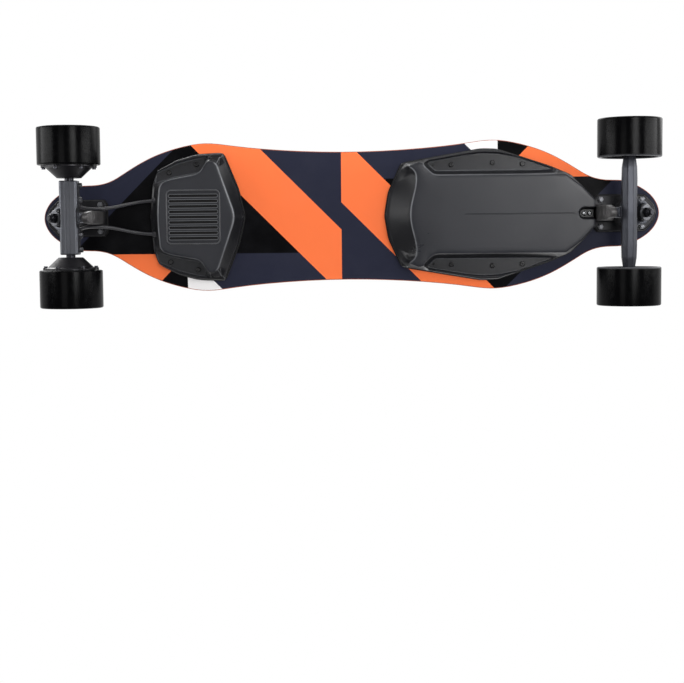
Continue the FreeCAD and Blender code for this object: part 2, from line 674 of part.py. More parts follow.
def cone_screw():
    way = V(0, 1, 0)
    seat = V(CAP_SCREW_RADIUS, CAP_SCREW_SEAT, AXLE_Z)
    head = rod(seat - way * 2.6, way, 2.6, 2.9)
    shank = rod(seat, way, 3.6, 1.5)
    return fused([head, shank]).cut(hexagon(seat - way * 3.2, way, 2.2, 2.6))


def motor_bearings():
    inner = bearing(62, MOTOR_SHAFT_RADIUS + RUNNING, 13, BEARING_WIDTH)
    outer = bearing(127, 5 + RUNNING, BEARING_RADIUS, BEARING_WIDTH)
    return [inner, outer]


def motor_shaft():
    """A hollow shaft, clamped in the hanger, which carries the stator and both bearings."""
    r = MOTOR_SHAFT_RADIUS
    collar = [(r, 86), (9, 86), (9, 88), (r, 88)]
    return turned([(3, 19), (r, 19), *collar, (r, 124), (5, 126), (5, 133.4), (3, 133.4)])


def motor_stator():
    """Twelve teeth with a coil round each, on a core that fits the shaft."""
    core = turned([(MOTOR_SHAFT_RADIUS, 88.2), (15, 88.2), (15, 121), (MOTOR_SHAFT_RADIUS, 121)])
    tooth = box((14, 31), (90, 119), (AXLE_Z - 1.6, AXLE_Z + 1.6))
    coil = box((16, 27.5), (88.5, 120.5), (AXLE_Z - 3.2, AXLE_Z + 3.2))
    teeth = [round_axle(fused([tooth, coil]), 30 * n) for n in range(12)]
    return fused([core, *teeth])


# ---------------------------------------------------------------- covers
def rimmed_cover(rim, base, face, low_z, pocket):
    """A cover: a low rim round the whole outline, and a deep body with sloping sides."""
    low_rim = loft(inset(whole(rim), 1.8), RIM_LOW_Z, whole(rim), RIM_LOW_Z + 3.5)
    high_rim = prism(whole(rim), RIM_LOW_Z + 3.5, DECK_LOW_Z + 8)
    body = loft(whole(face), low_z, whole(base), DECK_LOW_Z)
    outside = fused([low_rim, high_rim, body])
    mouth = inset(whole(base), WALL)
    room = loft(inset(whole(face), WALL), low_z + WALL, mouth, DECK_LOW_Z)
    room = fused([room, prism(mouth, DECK_LOW_Z, DECK_LOW_Z + 9)])
    sinks = [prism(points, 60, FLANGE_LOW_Z) for points in (pocket, mirrored(pocket))]
    above = concave_layer(-GASKET_THICKNESS, 30)
    return outside.cut([room, above, *sinks])


def gasket(rim, base, screws):
    """A foam seal between a cover's flanges and the deck."""
    z = (DECK_LOW_Z - 5, DECK_LOW_Z + 12)
    ring = prism(whole(rim), *z).cut(prism(inset(whole(base), WALL), *z))
    holes = [screw_room(x, y) for x, y in both_sides_points(screws)]
    return ring.common(concave_layer(-GASKET_THICKNESS, 0)).cut(holes)


def cover_screw(x, y, seat_z):
    """A pan-head screw with a hex socket, from its seat up into the deck."""
    head = Part.makeCylinder(SCREW_HEAD_RADIUS, SCREW_HEAD_HEIGHT, V(x, y, seat_z - SCREW_HEAD_HEIGHT))
    head = head.makeFillet(1.1, [e for e in head.Edges if e.BoundBox.ZMax < seat_z - 1])
    shank = rod(V(x, y, seat_z), V(0, 0, 1), DECK_LOW_Z + SCREW_BITE - seat_z, SCREW_RADIUS)
    socket = hexagon(V(x, y, seat_z - SCREW_HEAD_HEIGHT - 1), V(0, 0, 1), 2.4, 2.6)
    return fused([head, shank]).cut(socket)


def screw_room(x, y):
    return rod(V(x, y, 60), V(0, 0, 1), 80, SCREW_RADIUS + 0.3)


def side_holes():
    """Holes in the controller cover's side walls, for the charge port and the power switch."""
    return both_sides([rod(V(SOCKET_X, SOCKET_IN - 10, SOCKET_Z), V(0, 1, 0), EXTRA, SOCKET_RADIUS)])


def battery_cover():
    cover = rimmed_cover(BATTERY_RIM, BATTERY_BASE, BATTERY_FACE, BATTERY_LOW_Z, BATTERY_POCKET)
    body = loft(whole(BATTERY_FACE), BATTERY_LOW_Z, whole(BATTERY_BASE), DECK_LOW_Z)
    nose_z = (BATTERY_LOW_Z + 1, DECK_LOW_Z - GASKET_THICKNESS)
    nose = body.common(box((NOSE_BLOCK_X, 400), (-EXTRA, EXTRA), nose_z))
    half = TONGUE_SLOT_WIDTH / 2
    slot_end = rod(V(TONGUE_SLOT_X + half, 0, 60), V(0, 0, 1), TONGUE_SEAT_Z - 60, half)
    slot = slot_end.fuse(box((TONGUE_SLOT_X + half, 400), (-half, half), (60, TONGUE_SEAT_Z)))
    places = both_sides_points(BATTERY_SCREWS) + [(TONGUE_SCREW_X, 0)]
    return fused([cover, nose]).cut([slot, *[screw_room(x, y) for x, y in places]])


def esc_cover():
    cover = rimmed_cover(ESC_RIM, ESC_BASE, ESC_FACE, ESC_LOW_Z, ESC_POCKET)
    holes = [screw_room(x, y) for x, y in both_sides_points(ESC_SCREWS)]
    half = VENT_SIZE / 2 + 0.3
    window = vent_block(half, (60, ESC_LOW_Z + 8), 8.0)
    return cover.cut([*holes, window, *side_holes(), *[grommet_hole(flip) for flip in (False, True)]])


def vent_block(half, z, radius):
    """A rounded square block in the middle of the controller cover's face."""
    return rounded_box((VENT_CENTRE_X - half, VENT_CENTRE_X + half), (-half, half), z, radius)


def heat_sink():
    """A plate in the controller cover's window, with a row of slots and a flange inside the cover."""
    half = VENT_SIZE / 2
    seat = ESC_LOW_Z + WALL
    low = ESC_LOW_Z + 0.8
    front = vent_block(half, (low, seat + 3), 7.7)
    flange = vent_block(half + 4, (seat, seat + 3), 9.0)
    reach = half - 3
    x = (VENT_CENTRE_X - reach, VENT_CENTRE_X + reach)
    y = (-VENT_SLOT_WIDTH / 2, VENT_SLOT_WIDTH / 2)
    slot = rounded_box(x, y, (low - 1, low + 3.2), 1.9)
    rows = [(n - (VENT_SLOTS - 1) / 2) * VENT_PITCH for n in range(VENT_SLOTS)]
    return fused([front, flange]).cut([slot.translated(V(0, row, 0)) for row in rows])


# ---------------------------------------------------------------- electronics
def esc_board():
    """The motor controller: a circuit board with its switching blocks below and capacitors above."""
    low = ESC_LOW_Z + WALL + 3
    board = box((-289, -200), (-46, 46), (low + 3, low + 4.6))
    block_places = [(x, y) for x in (-275, -251, -227) for y in (-24, 24)]
    blocks = [box((x, x + 14), (y - 11, y + 11), (low, low + 3.2)) for x, y in block_places]
    cans = [rod(V(x, y, low + 4.4), V(0, 0, 1), 13, 5.5) for x in (-276, -262) for y in (-36, -12, 12, 36)]
    plugs = [box((-214, -202), (y - 9, y + 9), (low + 4.4, low + 13)) for y in (-28, 0, 28)]
    return fused([board, *blocks, *cans, *plugs])


def charge_port():
    """A barrel socket with a pin in its middle, pointing to the right."""
    axis = V(0, -1, 0)
    start = V(SOCKET_X, -SOCKET_IN, SOCKET_Z)
    length = SOCKET_OUT - SOCKET_IN
    shell = rod(start, axis, length, SOCKET_RADIUS).cut(rod(start + axis * 5, axis, length, 2.9))
    return fused([shell, rod(start + axis * 4, axis, length - 6, 1.05)])


def power_switch():
    axis = V(0, 1, 0)
    start = V(SOCKET_X, SOCKET_IN, SOCKET_Z)
    length = SOCKET_OUT - SOCKET_IN
    room = rod(start + axis * SWITCH_DEPTH, axis, length, BUTTON_RADIUS + 0.3)
    return rod(start, axis, length, SOCKET_RADIUS).cut(room)


def power_button():
    start = V(SOCKET_X, SOCKET_IN + SWITCH_DEPTH + BUTTON_TRAVEL + 0.3, SOCKET_Z)
    cap = rod(start, V(0, 1, 0), SOCKET_OUT + 0.8 - start.y, BUTTON_RADIUS)
    return cap.makeFillet(0.6, [e for e in cap.Edges if e.BoundBox.YMin > SOCKET_OUT])


def cell_places():
    rows = [(n - (CELL_ROWS - 1) / 2) * CELL_PITCH for n in range(CELL_ROWS)]
    return [V(x, y, CELL_Z) for x in CELL_COLUMNS_X for y in rows]


def battery_cells():
    return [rod(place, V(1, 0, 0), CELL_LENGTH, CELL_RADIUS) for place in cell_places()]


def nickel_strips():
    strips = []
    half = CELL_PITCH * (CELL_ROWS - 1) / 2 + 4
    for column in CELL_COLUMNS_X:
        for x in (column - STRIP_THICKNESS, column + CELL_LENGTH):
            strips.append(box((x, x + STRIP_THICKNESS), (-half, half), (CELL_Z - 4, CELL_Z + 4)))
    return strips


def bms_board():
    """The battery's protection board, upright at the front of the pack."""
    x = CELL_COLUMNS_X[-1] + CELL_LENGTH + 4
    board = box((x, x + 1.6), (-44, 44), (85, 105))
    chips = [box((x + 1.4, x + 4.6), (y - 7, y + 7), (89, 101)) for y in (-30, -10, 10, 30)]
    return fused([board, *chips])


# ---------------------------------------------------------------- motor cables
def cable_path(points):
    """Straight runs joined by tangent arcs, each arc as large as its two runs allow."""
    runs = [(b - a) for a, b in zip(points, points[1:])]
    edges = []
    radii = []
    last = points[0]
    for here, before, after in zip(points[1:], runs, runs[1:]):
        half_turn = before.getAngle(after) / 2
        shorter = min(before.Length, after.Length)
        radius = 0.45 * shorter / math.tan(half_turn)
        radii.append(radius)
        way_in = V(before).normalize()
        way_out = V(after).normalize()
        start = here - way_in * (0.45 * shorter)
        end = here + way_out * (0.45 * shorter)
        inward = (way_out - way_in).normalize()
        middle = here + inward * (radius / math.cos(half_turn) - radius)
        edges += [Part.LineSegment(last, start).toShape(), Part.Arc(start, middle, end).toShape()]
        last = end
    edges.append(Part.LineSegment(last, points[-1]).toShape())
    return Part.Wire(edges), radii


def motor_cable():
    points = [V(*p) for p in CABLE_ROUTE]
    path, radii = cable_path(points)
    way = (points[1] - points[0]).normalize()
    section = Part.Wire(Part.makeCircle(CABLE_RADIUS, points[0], way))
    solid = path.makePipeShell([section], True, False)
    expected = math.pi * CABLE_RADIUS ** 2 * path.Length
    print("cable radii", [round(r, 1) for r in radii], "length", round(path.Length, 1))
    print("cable volume", round(solid.Volume, 1), "expected", round(expected, 1))
    return solid


def cable_exit():
    """Where a motor cable leaves its grommet, and the way back into the cover."""
    start = V(*CABLE_ROUTE[0])
    return start, (start - V(*CABLE_ROUTE[1])).normalize()


GROMMET_RADIUS = 4.4
GROMMET_LENGTH = 12.0


def grommet_hole(flip):
    start, inward = cable_exit()
    hole = rod(start - inward * 4, inward, GROMMET_LENGTH + 8, GROMMET_RADIUS)
    return flipped(hole) if flip else hole


def grommet():
    """A tapered sleeve that the cable comes out of."""
    start, inward = cable_exit()
    nose = Part.makeCone(CABLE_RADIUS + 0.8, GROMMET_RADIUS - 0.1, 3, start, inward)
    sleeve = rod(start + inward * 3, inward, GROMMET_LENGTH - 3, GROMMET_RADIUS)
    return fused([nose, sleeve])


# ---------------------------------------------------------------- the parts
def at_both_ends(shape):
    return [at_nose(shape), at_tail(shape)]


def cover_screws():
    flanged = both_sides_points(BATTERY_SCREWS + ESC_SCREWS)
    screws = [cover_screw(x, y, FLANGE_LOW_Z) for x, y in flanged]
    return [*screws, cover_screw(TONGUE_SCREW_X, 0, TONGUE_SEAT_Z)]


def bushing_washers():
    washers = [cup_washer(BOARD_SEAT, 13.0, 1), cup_washer(NUT_SEAT, 11.6, -1)]
    return [placed for washer in washers for placed in at_both_ends(washer)]


def export_board():
    export("deck", deck())
    export("grip_tape", grip_tape())
    export("battery_cover", battery_cover())
    export("battery_gasket", gasket(BATTERY_RIM, BATTERY_BASE, BATTERY_SCREWS))
    export("battery_cells", battery_cells())
    export("nickel_strips", nickel_strips())
    export("bms_board", bms_board())
    export("esc_cover", esc_cover())
    export("esc_heat_sink", heat_sink())
    export("esc_gasket", gasket(ESC_RIM, ESC_BASE, ESC_SCREWS))
    export("esc_board", esc_board())
    export("charge_port", charge_port())
    export("power_switch", power_switch())
    export("power_button", power_button())
    export("power_lead", wire_channel(0.25))
    export("cover_screws", cover_screws())
    export("left_motor_cable", motor_cable())
    export("right_motor_cable", flipped(motor_cable()))
    export("cable_grommets", both_sides([grommet()]))


def export_truck_mounts():
    export("riser_pads", at_both_ends(riser_pad()))
    export("rear_baseplate", at_tail(baseplate(10.0)))
    export("front_baseplate", at_nose(baseplate(11.5)))
    export("truck_bolts", [truck_bolt(x, y) for x, y in truck_bolt_places()])
    export("truck_nuts", [truck_nut(x, y) for x, y in truck_bolt_places()])
    export("pivot_cups", at_both_ends(pivot_cup()))
    export("kingpins", at_both_ends(kingpin()))
    export("kingpin_nuts", at_both_ends(kingpin_nut()))
    export("bushing_washers", bushing_washers())
    for end, place in (("front", at_nose), ("rear", at_tail)):
        export(end + "_boardside_bushing", place(board_bushing()))
        export(end + "_roadside_bushing", place(road_bushing()))


def export_trucks():
    export("rear_hanger", at_tail(hanger_rear()))
    clamps = [clamp_bolt(side * y) for y in CLAMP_BOLT_Y for side in (1, -1)]
    export("axle_clamp_bolts", [at_tail(bolt) for bolt in clamps])
    export("front_hanger", at_nose(hanger_front()))
    export("front_axle", at_nose(front_axle()))
    nuts = both_sides(axle_nut())
    export("front_axle_nuts", [at_nose(nut) for nut in nuts])


def export_wheels():
    """Each wheel is made for the left side, and flipped for the right one."""
    rear = V(-AXLE_X, 0, 0)
    front = V(AXLE_X, 0, 0)
    screws = [round_axle(cone_screw(), angle) for angle in cap_screw_angles()]
    pieces = [
        ("motor_shaft", [motor_shaft()], rear),
        ("motor_stator", [motor_stator()], rear),
        ("motor_can", [motor_can()], rear),
        ("motor_magnets", [motor_magnets()], rear),
        ("motor_cone", [motor_cone()], rear),
        ("motor_cone_screws", screws, rear),
        ("motor_bearings", motor_bearings(), rear),
        ("motor_tyre", [motor_tyre()], rear),
        ("front_core", [front_core()], front),
        ("front_bearings", front_bearings(), front),
        ("front_tyre", [front_tyre()], front),
    ]
    for name, shapes, place in pieces:
        placed = [shape.translated(place) for shape in shapes]
        export("left_" + name, placed)
        export("right_" + name, [flipped(shape) for shape in placed])


os.makedirs("parts", exist_ok=True)
export_board()
export_truck_mounts()
export_trucks()
export_wheels()
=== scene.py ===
"""The looks of an electric longboard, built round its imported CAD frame.

Everything is in metres in the frame's own axes: +X towards the nose, +Y to the rider's left, +Z up.
Outlines are written in millimetres and turned into metres where they are used.
"""

import math

import bmesh
import bpy
import numpy as np
from mathutils import Matrix, Vector


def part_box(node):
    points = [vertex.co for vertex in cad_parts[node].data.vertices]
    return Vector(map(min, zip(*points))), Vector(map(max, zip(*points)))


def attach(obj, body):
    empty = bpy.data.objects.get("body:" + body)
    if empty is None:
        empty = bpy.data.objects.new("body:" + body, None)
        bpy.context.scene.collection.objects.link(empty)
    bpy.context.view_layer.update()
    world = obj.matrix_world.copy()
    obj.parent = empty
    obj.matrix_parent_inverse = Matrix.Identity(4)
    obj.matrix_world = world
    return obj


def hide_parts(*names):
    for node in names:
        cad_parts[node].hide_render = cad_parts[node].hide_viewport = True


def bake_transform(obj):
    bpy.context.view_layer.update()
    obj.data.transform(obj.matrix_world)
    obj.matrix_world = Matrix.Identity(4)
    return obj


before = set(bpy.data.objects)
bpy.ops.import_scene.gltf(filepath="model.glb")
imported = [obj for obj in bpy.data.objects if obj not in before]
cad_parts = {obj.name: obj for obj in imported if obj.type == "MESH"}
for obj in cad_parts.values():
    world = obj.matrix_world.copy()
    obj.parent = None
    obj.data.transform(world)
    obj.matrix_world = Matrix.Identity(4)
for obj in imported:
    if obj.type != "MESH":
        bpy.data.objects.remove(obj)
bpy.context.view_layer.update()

MM = 0.001
SIDES = (("left", 1), ("right", -1))
DECK_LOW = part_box("deck")[0].z / MM
DECK_FLAT = 62.0  # half width of the deck's flat middle
CONCAVE_RADIUS = 264.0
AXLE_X = sum(corner.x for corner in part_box("front_axle")) / 2 / MM
AXLE_Z = sum(corner.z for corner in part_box("front_axle")) / 2 / MM


# ---------------------------------------------------------------- material nodes
def srgb(red, green, blue):
    """A colour given as 0 to 255, as the shader wants it."""
    def linear(value):
        value /= 255
        return value / 12.92 if value <= 0.04045 else ((value + 0.055) / 1.055) ** 2.4

    return (linear(red), linear(green), linear(blue), 1.0)


def toned(colour, factor):
    return tuple(channel * factor for channel in colour[:3]) + (1.0,)


class Graph:
    """A material's node tree, with a short call for each kind of node used here."""

    def __init__(self, name, roughness=0.5, metallic=0.0, edge=0.0, **sockets):
        self.material = bpy.data.materials.new(name)
        self.material.use_nodes = True
        self.tree = self.material.node_tree
        self.shader = self.tree.nodes["Principled BSDF"]
        self.shader.inputs["Roughness"].default_value = roughness
        self.shader.inputs["Metallic"].default_value = metallic
        for socket, value in sockets.items():
            self.shader.inputs[socket.replace("_", " ")].default_value = value
        self.place = self.node("ShaderNodeTexCoord").outputs["Object"]
        if edge:
            self.rounded = self.node("ShaderNodeBevel", Radius=edge).outputs["Normal"]
            self.feed(self.shader.inputs["Normal"], self.rounded)

    def node(self, kind, settings=(), **inputs):
        node = self.tree.nodes.new(kind)
        for name, value in dict(settings).items():
            setattr(node, name, value)
        for name, value in inputs.items():
            self.feed(node.inputs[name.replace("_", " ")], value)
        return node

    def feed(self, socket, value):
        if isinstance(value, bpy.types.NodeSocket):
            self.tree.links.new(value, socket)
        else:
            socket.default_value = value

    def math(self, operation, a, b=0.0):
        node = self.node("ShaderNodeMath", {"operation": operation})
        self.feed(node.inputs[0], a)
        self.feed(node.inputs[1], b)
        return node.outputs[0]

    def add(self, a, b):
        return self.math("ADD", a, b)

    def less(self, a, b):
        return self.math("SUBTRACT", a, b)

    def times(self, *values):
        """A product, which is also the overlap of masks."""
        result = values[0]
        for value in values[1:]:
            result = self.math("MULTIPLY", result, value)
        return result

    def above(self, value, limit):
        return self.math("GREATER_THAN", value, limit)

    def below(self, value, limit):
        return self.math("LESS_THAN", value, limit)

    def size(self, value):
        return self.math("ABSOLUTE", value)

    def length(self, a, b):
        """How long a line is that goes a along one axis and b along another."""
        return self.math("SQRT", self.add(self.times(a, a), self.times(b, b)))

    def axes(self, vector=None):
        parts = self.node("ShaderNodeSeparateXYZ", Vector=vector or self.place).outputs
        return parts["X"], parts["Y"], parts["Z"]

    def stretched(self, x, y, z):
        """The place with each axis scaled, for streaks and grain."""
        return self.node("ShaderNodeMapping", Vector=self.place, Scale=(x, y, z)).outputs["Vector"]

    def noise(self, scale, detail=3.0, roughness=0.55, place=None):
        node = self.node("ShaderNodeTexNoise", Vector=place or self.place, Scale=scale)
        node.inputs["Detail"].default_value = detail
        node.inputs["Roughness"].default_value = roughness
        return node.outputs["Fac"]

    def cells(self, scale, output="Distance"):
        return self.node("ShaderNodeTexVoronoi", Vector=self.place, Scale=scale).outputs[output]

    def span(self, value, low, high, to_low=0.0, to_high=1.0):
        """Maps low..high onto to_low..to_high, and holds at both ends."""
        node = self.node("ShaderNodeMapRange", Value=value)
        limits = {"From Min": low, "From Max": high, "To Min": to_low, "To Max": to_high}
        for name, number in limits.items():
            node.inputs[name].default_value = number
        return node.outputs["Result"]

    def mix(self, share, a, b):
        """A blend of two colours, which go in at 6 and 7 and come out at 2 on this kind of node."""
        node = self.node("ShaderNodeMix", {"data_type": "RGBA"})
        self.feed(node.inputs[0], share)
        self.feed(node.inputs[6], a)
        self.feed(node.inputs[7], b)
        return node.outputs[2]

    def edge_mask(self):
        """One on sharp edges, from how far the rounded normal leaves the true one."""
        flat = self.node("ShaderNodeNewGeometry").outputs["Normal"]
        node = self.node("ShaderNodeVectorMath", {"operation": "DOT_PRODUCT"})
        self.feed(node.inputs[0], self.rounded)
        self.feed(node.inputs[1], flat)
        return self.span(self.less(1.0, node.outputs["Value"]), 0.02, 0.3)

    def painted(self, name):
        """A value kept on each point of a piece."""
        return self.node("ShaderNodeAttribute", {"attribute_name": name}).outputs["Fac"]

    def colour(self, value):
        self.feed(self.shader.inputs["Base Color"], value)

    def roughness(self, value):
        self.feed(self.shader.inputs["Roughness"], value)

    def bump(self, height, depth, strength=1.0):
        """Adds a bump of that depth in metres, over any that is there."""
        socket = self.shader.inputs["Normal"]
        node = self.node("ShaderNodeBump", Height=height, Distance=depth, Strength=strength)
        if socket.links:
            self.feed(node.inputs["Normal"], socket.links[0].from_socket)
        self.feed(socket, node.outputs["Normal"])


def worn_and_highlit(name, colour, roughness, metallic=0.0, edge=0.0005, tone=0.25, grain=900.0,
         depth=0.00004, edge_lightening=1.5):
    """A finish with cloudy colour and gloss, a fine grain, and edges lighter, partly scuffs and
    partly a painted highlight.

    The edge and the depth of the grain are in metres. Tone is how far the colour varies, grain how
    fine the grain is, and the last how much lighter the edges are painted.
    """
    g = Graph(name, roughness, metallic, edge)
    cloud = g.noise(35.0, 4.0)
    speck = g.noise(grain, 2.0)
    shade = g.mix(cloud, toned(colour, 1 - tone), toned(colour, 1 + tone))
    # Edges painted lighter: partly scuffs, partly a painted highlight.
    lighter_edges = g.times(g.edge_mask(), g.span(g.noise(160.0, 5.0), 0.42, 0.62))
    g.colour(g.mix(lighter_edges, shade, toned(colour, edge_lightening)))
    gloss = g.add(cloud, g.times(speck, 0.5))
    g.roughness(g.span(gloss, 0.4, 1.1, roughness * 0.8, roughness * 1.25))
    g.bump(speck, depth)
    return g


def finish(*values):
    """The material of a finish with cloudy tone, grain and scuffed, highlit edges, that needs
    nothing more.
    """
    return worn_and_highlit(*values).material


# ---------------------------------------------------------------- materials of the deck
ORANGE = srgb(249, 121, 70)
NAVY = srgb(41, 43, 58)
BLACK = srgb(9, 9, 11)
WHITE = srgb(249, 247, 248)
MAPLE = srgb(206, 160, 116)
RED_PLY = srgb(158, 62, 50)
DECK_THICK = 11.0
DECK_PLIES = 7.0

# Where the print's bands begin and end, in millimetres from its middle. As on the tail's half, u is
# along the board and v across it.
PRINT_MIDDLE = -11.7  # along the board
STRIPE_START, STRIPE_END = 21.3, 123.8  # of v - u
WHITE_START = 303.3  # of v - u
CORNER_END, TAIL_START = -186.3, -370.3  # of u + v
SIDE_START = 57.3  # of v
REAR_START = -244.3  # of u


def concave_rise(g, y):
    """How far the deck has curled up at that place across it."""
    out = g.math("MAXIMUM", g.less(g.size(y), DECK_FLAT * MM), 0.0)
    return g.math("DIVIDE", g.times(out, out), 2 * CONCAVE_RADIUS * MM)


def bands(g, x, y):
    """The print under the deck: slanting bands, the same on both halves but turned half round."""
    u = g.less(x, PRINT_MIDDLE * MM)
    way = g.less(1.0, g.times(g.above(u, 0.0), 2.0))
    u, v = g.times(u, way), g.times(y, way)
    total, slant = g.add(u, v), g.less(v, u)
    far = g.above(slant, STRIPE_END * MM)
    outer = g.above(v, SIDE_START * MM)
    inner = g.less(1.0, outer)
    tail = g.below(total, TAIL_START * MM)
    stripe = g.times(g.above(slant, STRIPE_START * MM), g.less(1.0, far))
    corner = g.times(outer, far, g.below(total, CORNER_END * MM))
    rest = g.times(outer, far, g.above(total, CORNER_END * MM))
    forward = g.above(u, REAR_START * MM)
    shade = g.mix(g.times(far, inner), NAVY, BLACK)
    shade = g.mix(stripe, shade, ORANGE)
    shade = g.mix(corner, shade, ORANGE)
    shade = g.mix(g.times(rest, g.less(1.0, forward)), shade, BLACK)
    shade = g.mix(g.times(rest, forward, g.above(slant, WHITE_START * MM)), shade, WHITE)
    return g.mix(tail, shade, NAVY)


def deck_material():
    """Print under the deck, and bare maple plies with dyed ones between them round its edge."""
    g = Graph("printed_deck", 0.34, Specular_IOR_Level=0.04)
    x, y, z = g.axes()
    normal_z = g.axes(g.node("ShaderNodeTexCoord").outputs["Normal"])[2]
    grain = g.noise(60.0, 6.0, 0.6, g.stretched(1.0, 18.0, 18.0))
    pores = g.noise(900.0, 2.0, 0.5, g.stretched(0.06, 1.0, 1.0))
    print_shade = bands(g, x, y)
    dust = g.times(g.span(g.noise(22.0, 6.0), 0.45, 0.75), 0.012)
    dusty = g.mix(dust, print_shade, srgb(150, 150, 160))
    height = g.less(g.less(z, concave_rise(g, y)), DECK_LOW * MM)
    layer = g.math("DIVIDE", height, DECK_THICK * MM)
    ply = g.math("PINGPONG", g.times(layer, DECK_PLIES), 1.0)
    wood = g.mix(g.span(grain, 0.3, 0.7), MAPLE, toned(MAPLE, 0.72))
    wood = g.mix(g.times(g.above(layer, 0.42), g.below(layer, 0.58)), wood, RED_PLY)
    wood = g.mix(g.times(g.below(layer, 0.14), 0.8), wood, RED_PLY)
    wood = g.mix(g.span(ply, 0.88, 1.0, 0.0, 0.75), wood, srgb(70, 34, 24))
    under = g.below(g.add(normal_z, g.times(g.less(g.noise(300.0), 0.5), 0.12)), -0.80)
    g.colour(g.mix(under, wood, dusty))
    matt = g.times(g.less(1.0, under), 0.2)
    g.roughness(g.add(g.span(g.noise(40.0, 5.0), 0.3, 0.7, 0.29, 0.4), matt))
    g.bump(pores, 0.00003)
    g.bump(g.times(ply, g.less(1.0, under)), 0.00012)
    return g.material


def grip_material():
    """Black grit with a few grains that catch the light."""
    g = Graph("grit_tape", 0.82)
    fine = g.cells(1250.0)
    coarse = g.cells(800.0)
    tint = g.cells(1000.0, "Color")
    glint = g.above(g.axes(tint)[0], 0.80)
    base = g.mix(g.noise(9.0, 5.0), srgb(66, 67, 71), srgb(80, 81, 86))
    sparkle = g.mix(g.axes(tint)[1], srgb(122, 123, 128), srgb(168, 169, 174))
    lit = g.times(glint, g.below(fine, 0.45))
    deep = g.mix(g.span(coarse, 0.25, 0.7), base, srgb(40, 40, 44))
    g.colour(g.mix(lit, deep, sparkle))
    g.roughness(g.span(lit, 0.0, 1.0, 0.9, 0.35))
    g.bump(g.less(1.0, g.times(fine, coarse)), 0.0007, 0.9)
    return g.material


# ---------------------------------------------------------------- materials of the covers
GROOVE_START, GROOVE_END = 180.0, 347.0  # the line sunk along the middle of the battery cover, painted dark for the shade in it
BLANK_HOLE = (132.0, 76.5)  # a small hole on each side of the battery cover, painted as a dark dot for the shade in it


def cover_material():
    """Moulded black plastic with painted light: grained lit grey faces, shaded darker slopes,
    highlight lines, and shade in a sunk line and holes.
    """
    g = Graph("moulded_cover", 0.42, edge=0.0009, Specular_IOR_Level=0.4)
    x, y, _ = g.axes()
    # Painted light and shade kept on the sheet's points: the lit share of the faces, highlight
    # lines, and light lines at the pockets' floors.
    face = g.painted("face")
    highlight_line = g.painted("highlight_line")
    crease_highlight = g.painted("crease_highlight")
    cloud = g.noise(11.0, 5.0)
    spark = g.cells(1500.0)
    # Painted shade for the slopes, painted light for the flat faces.
    dark = g.mix(cloud, srgb(21, 21, 24), srgb(28, 28, 32))
    grey = g.mix(cloud, srgb(30, 31, 36), srgb(46, 47, 53))
    shade = g.mix(face, dark, grey)
    # Painted highlight where each pocket's floor begins.
    shade = g.mix(g.times(crease_highlight, 0.8), shade, srgb(92, 94, 98))
    # Painted highlight along the ridges, a little patchy.
    painted_highlight = g.times(highlight_line, g.span(g.noise(45.0, 4.0), 0.3, 0.65, 0.55, 0.95))
    shade = g.mix(painted_highlight, shade, srgb(146, 148, 153))
    # Painted shade in the sunk line along the middle and in the two small holes.
    on_line = g.times(g.above(x, GROOVE_START * MM), g.below(x, GROOVE_END * MM))
    groove_shade = g.times(on_line, g.span(g.size(y), 0.0003, 0.0011, 1.0, 0.0))
    off_hole = g.length(g.less(x, BLANK_HOLE[0] * MM), g.less(g.size(y), BLANK_HOLE[1] * MM))
    hole = g.span(off_hole, 0.0012, 0.0018, 1.0, 0.0)
    sunk = g.math("MAXIMUM", g.times(groove_shade, 0.35), hole)
    shade = g.mix(sunk, shade, srgb(9, 9, 10))
    scratch = g.noise(70.0, 6.0, 0.7, g.stretched(0.25, 2.4, 1.0))
    g.colour(g.mix(g.span(scratch, 0.64, 0.8, 0.0, 0.12), shade, srgb(84, 86, 90)))
    gloss = g.span(g.add(cloud, g.times(scratch, 0.15)), 0.35, 0.85, 0.27, 0.4)
    g.roughness(g.less(gloss, g.times(highlight_line, 0.08)))
    g.bump(spark, 0.00005)
    g.bump(g.less(1.0, sunk), 0.0005)
    return g.material


VENT_SLOT_HALF = 36.0  # half a slot's straight part, along the board
VENT_SLOT_RADIUS = 2.0
VENT_PITCH = 8.2  # from slot to slot, across the board
VENT_ROWS_HALF = 36.5


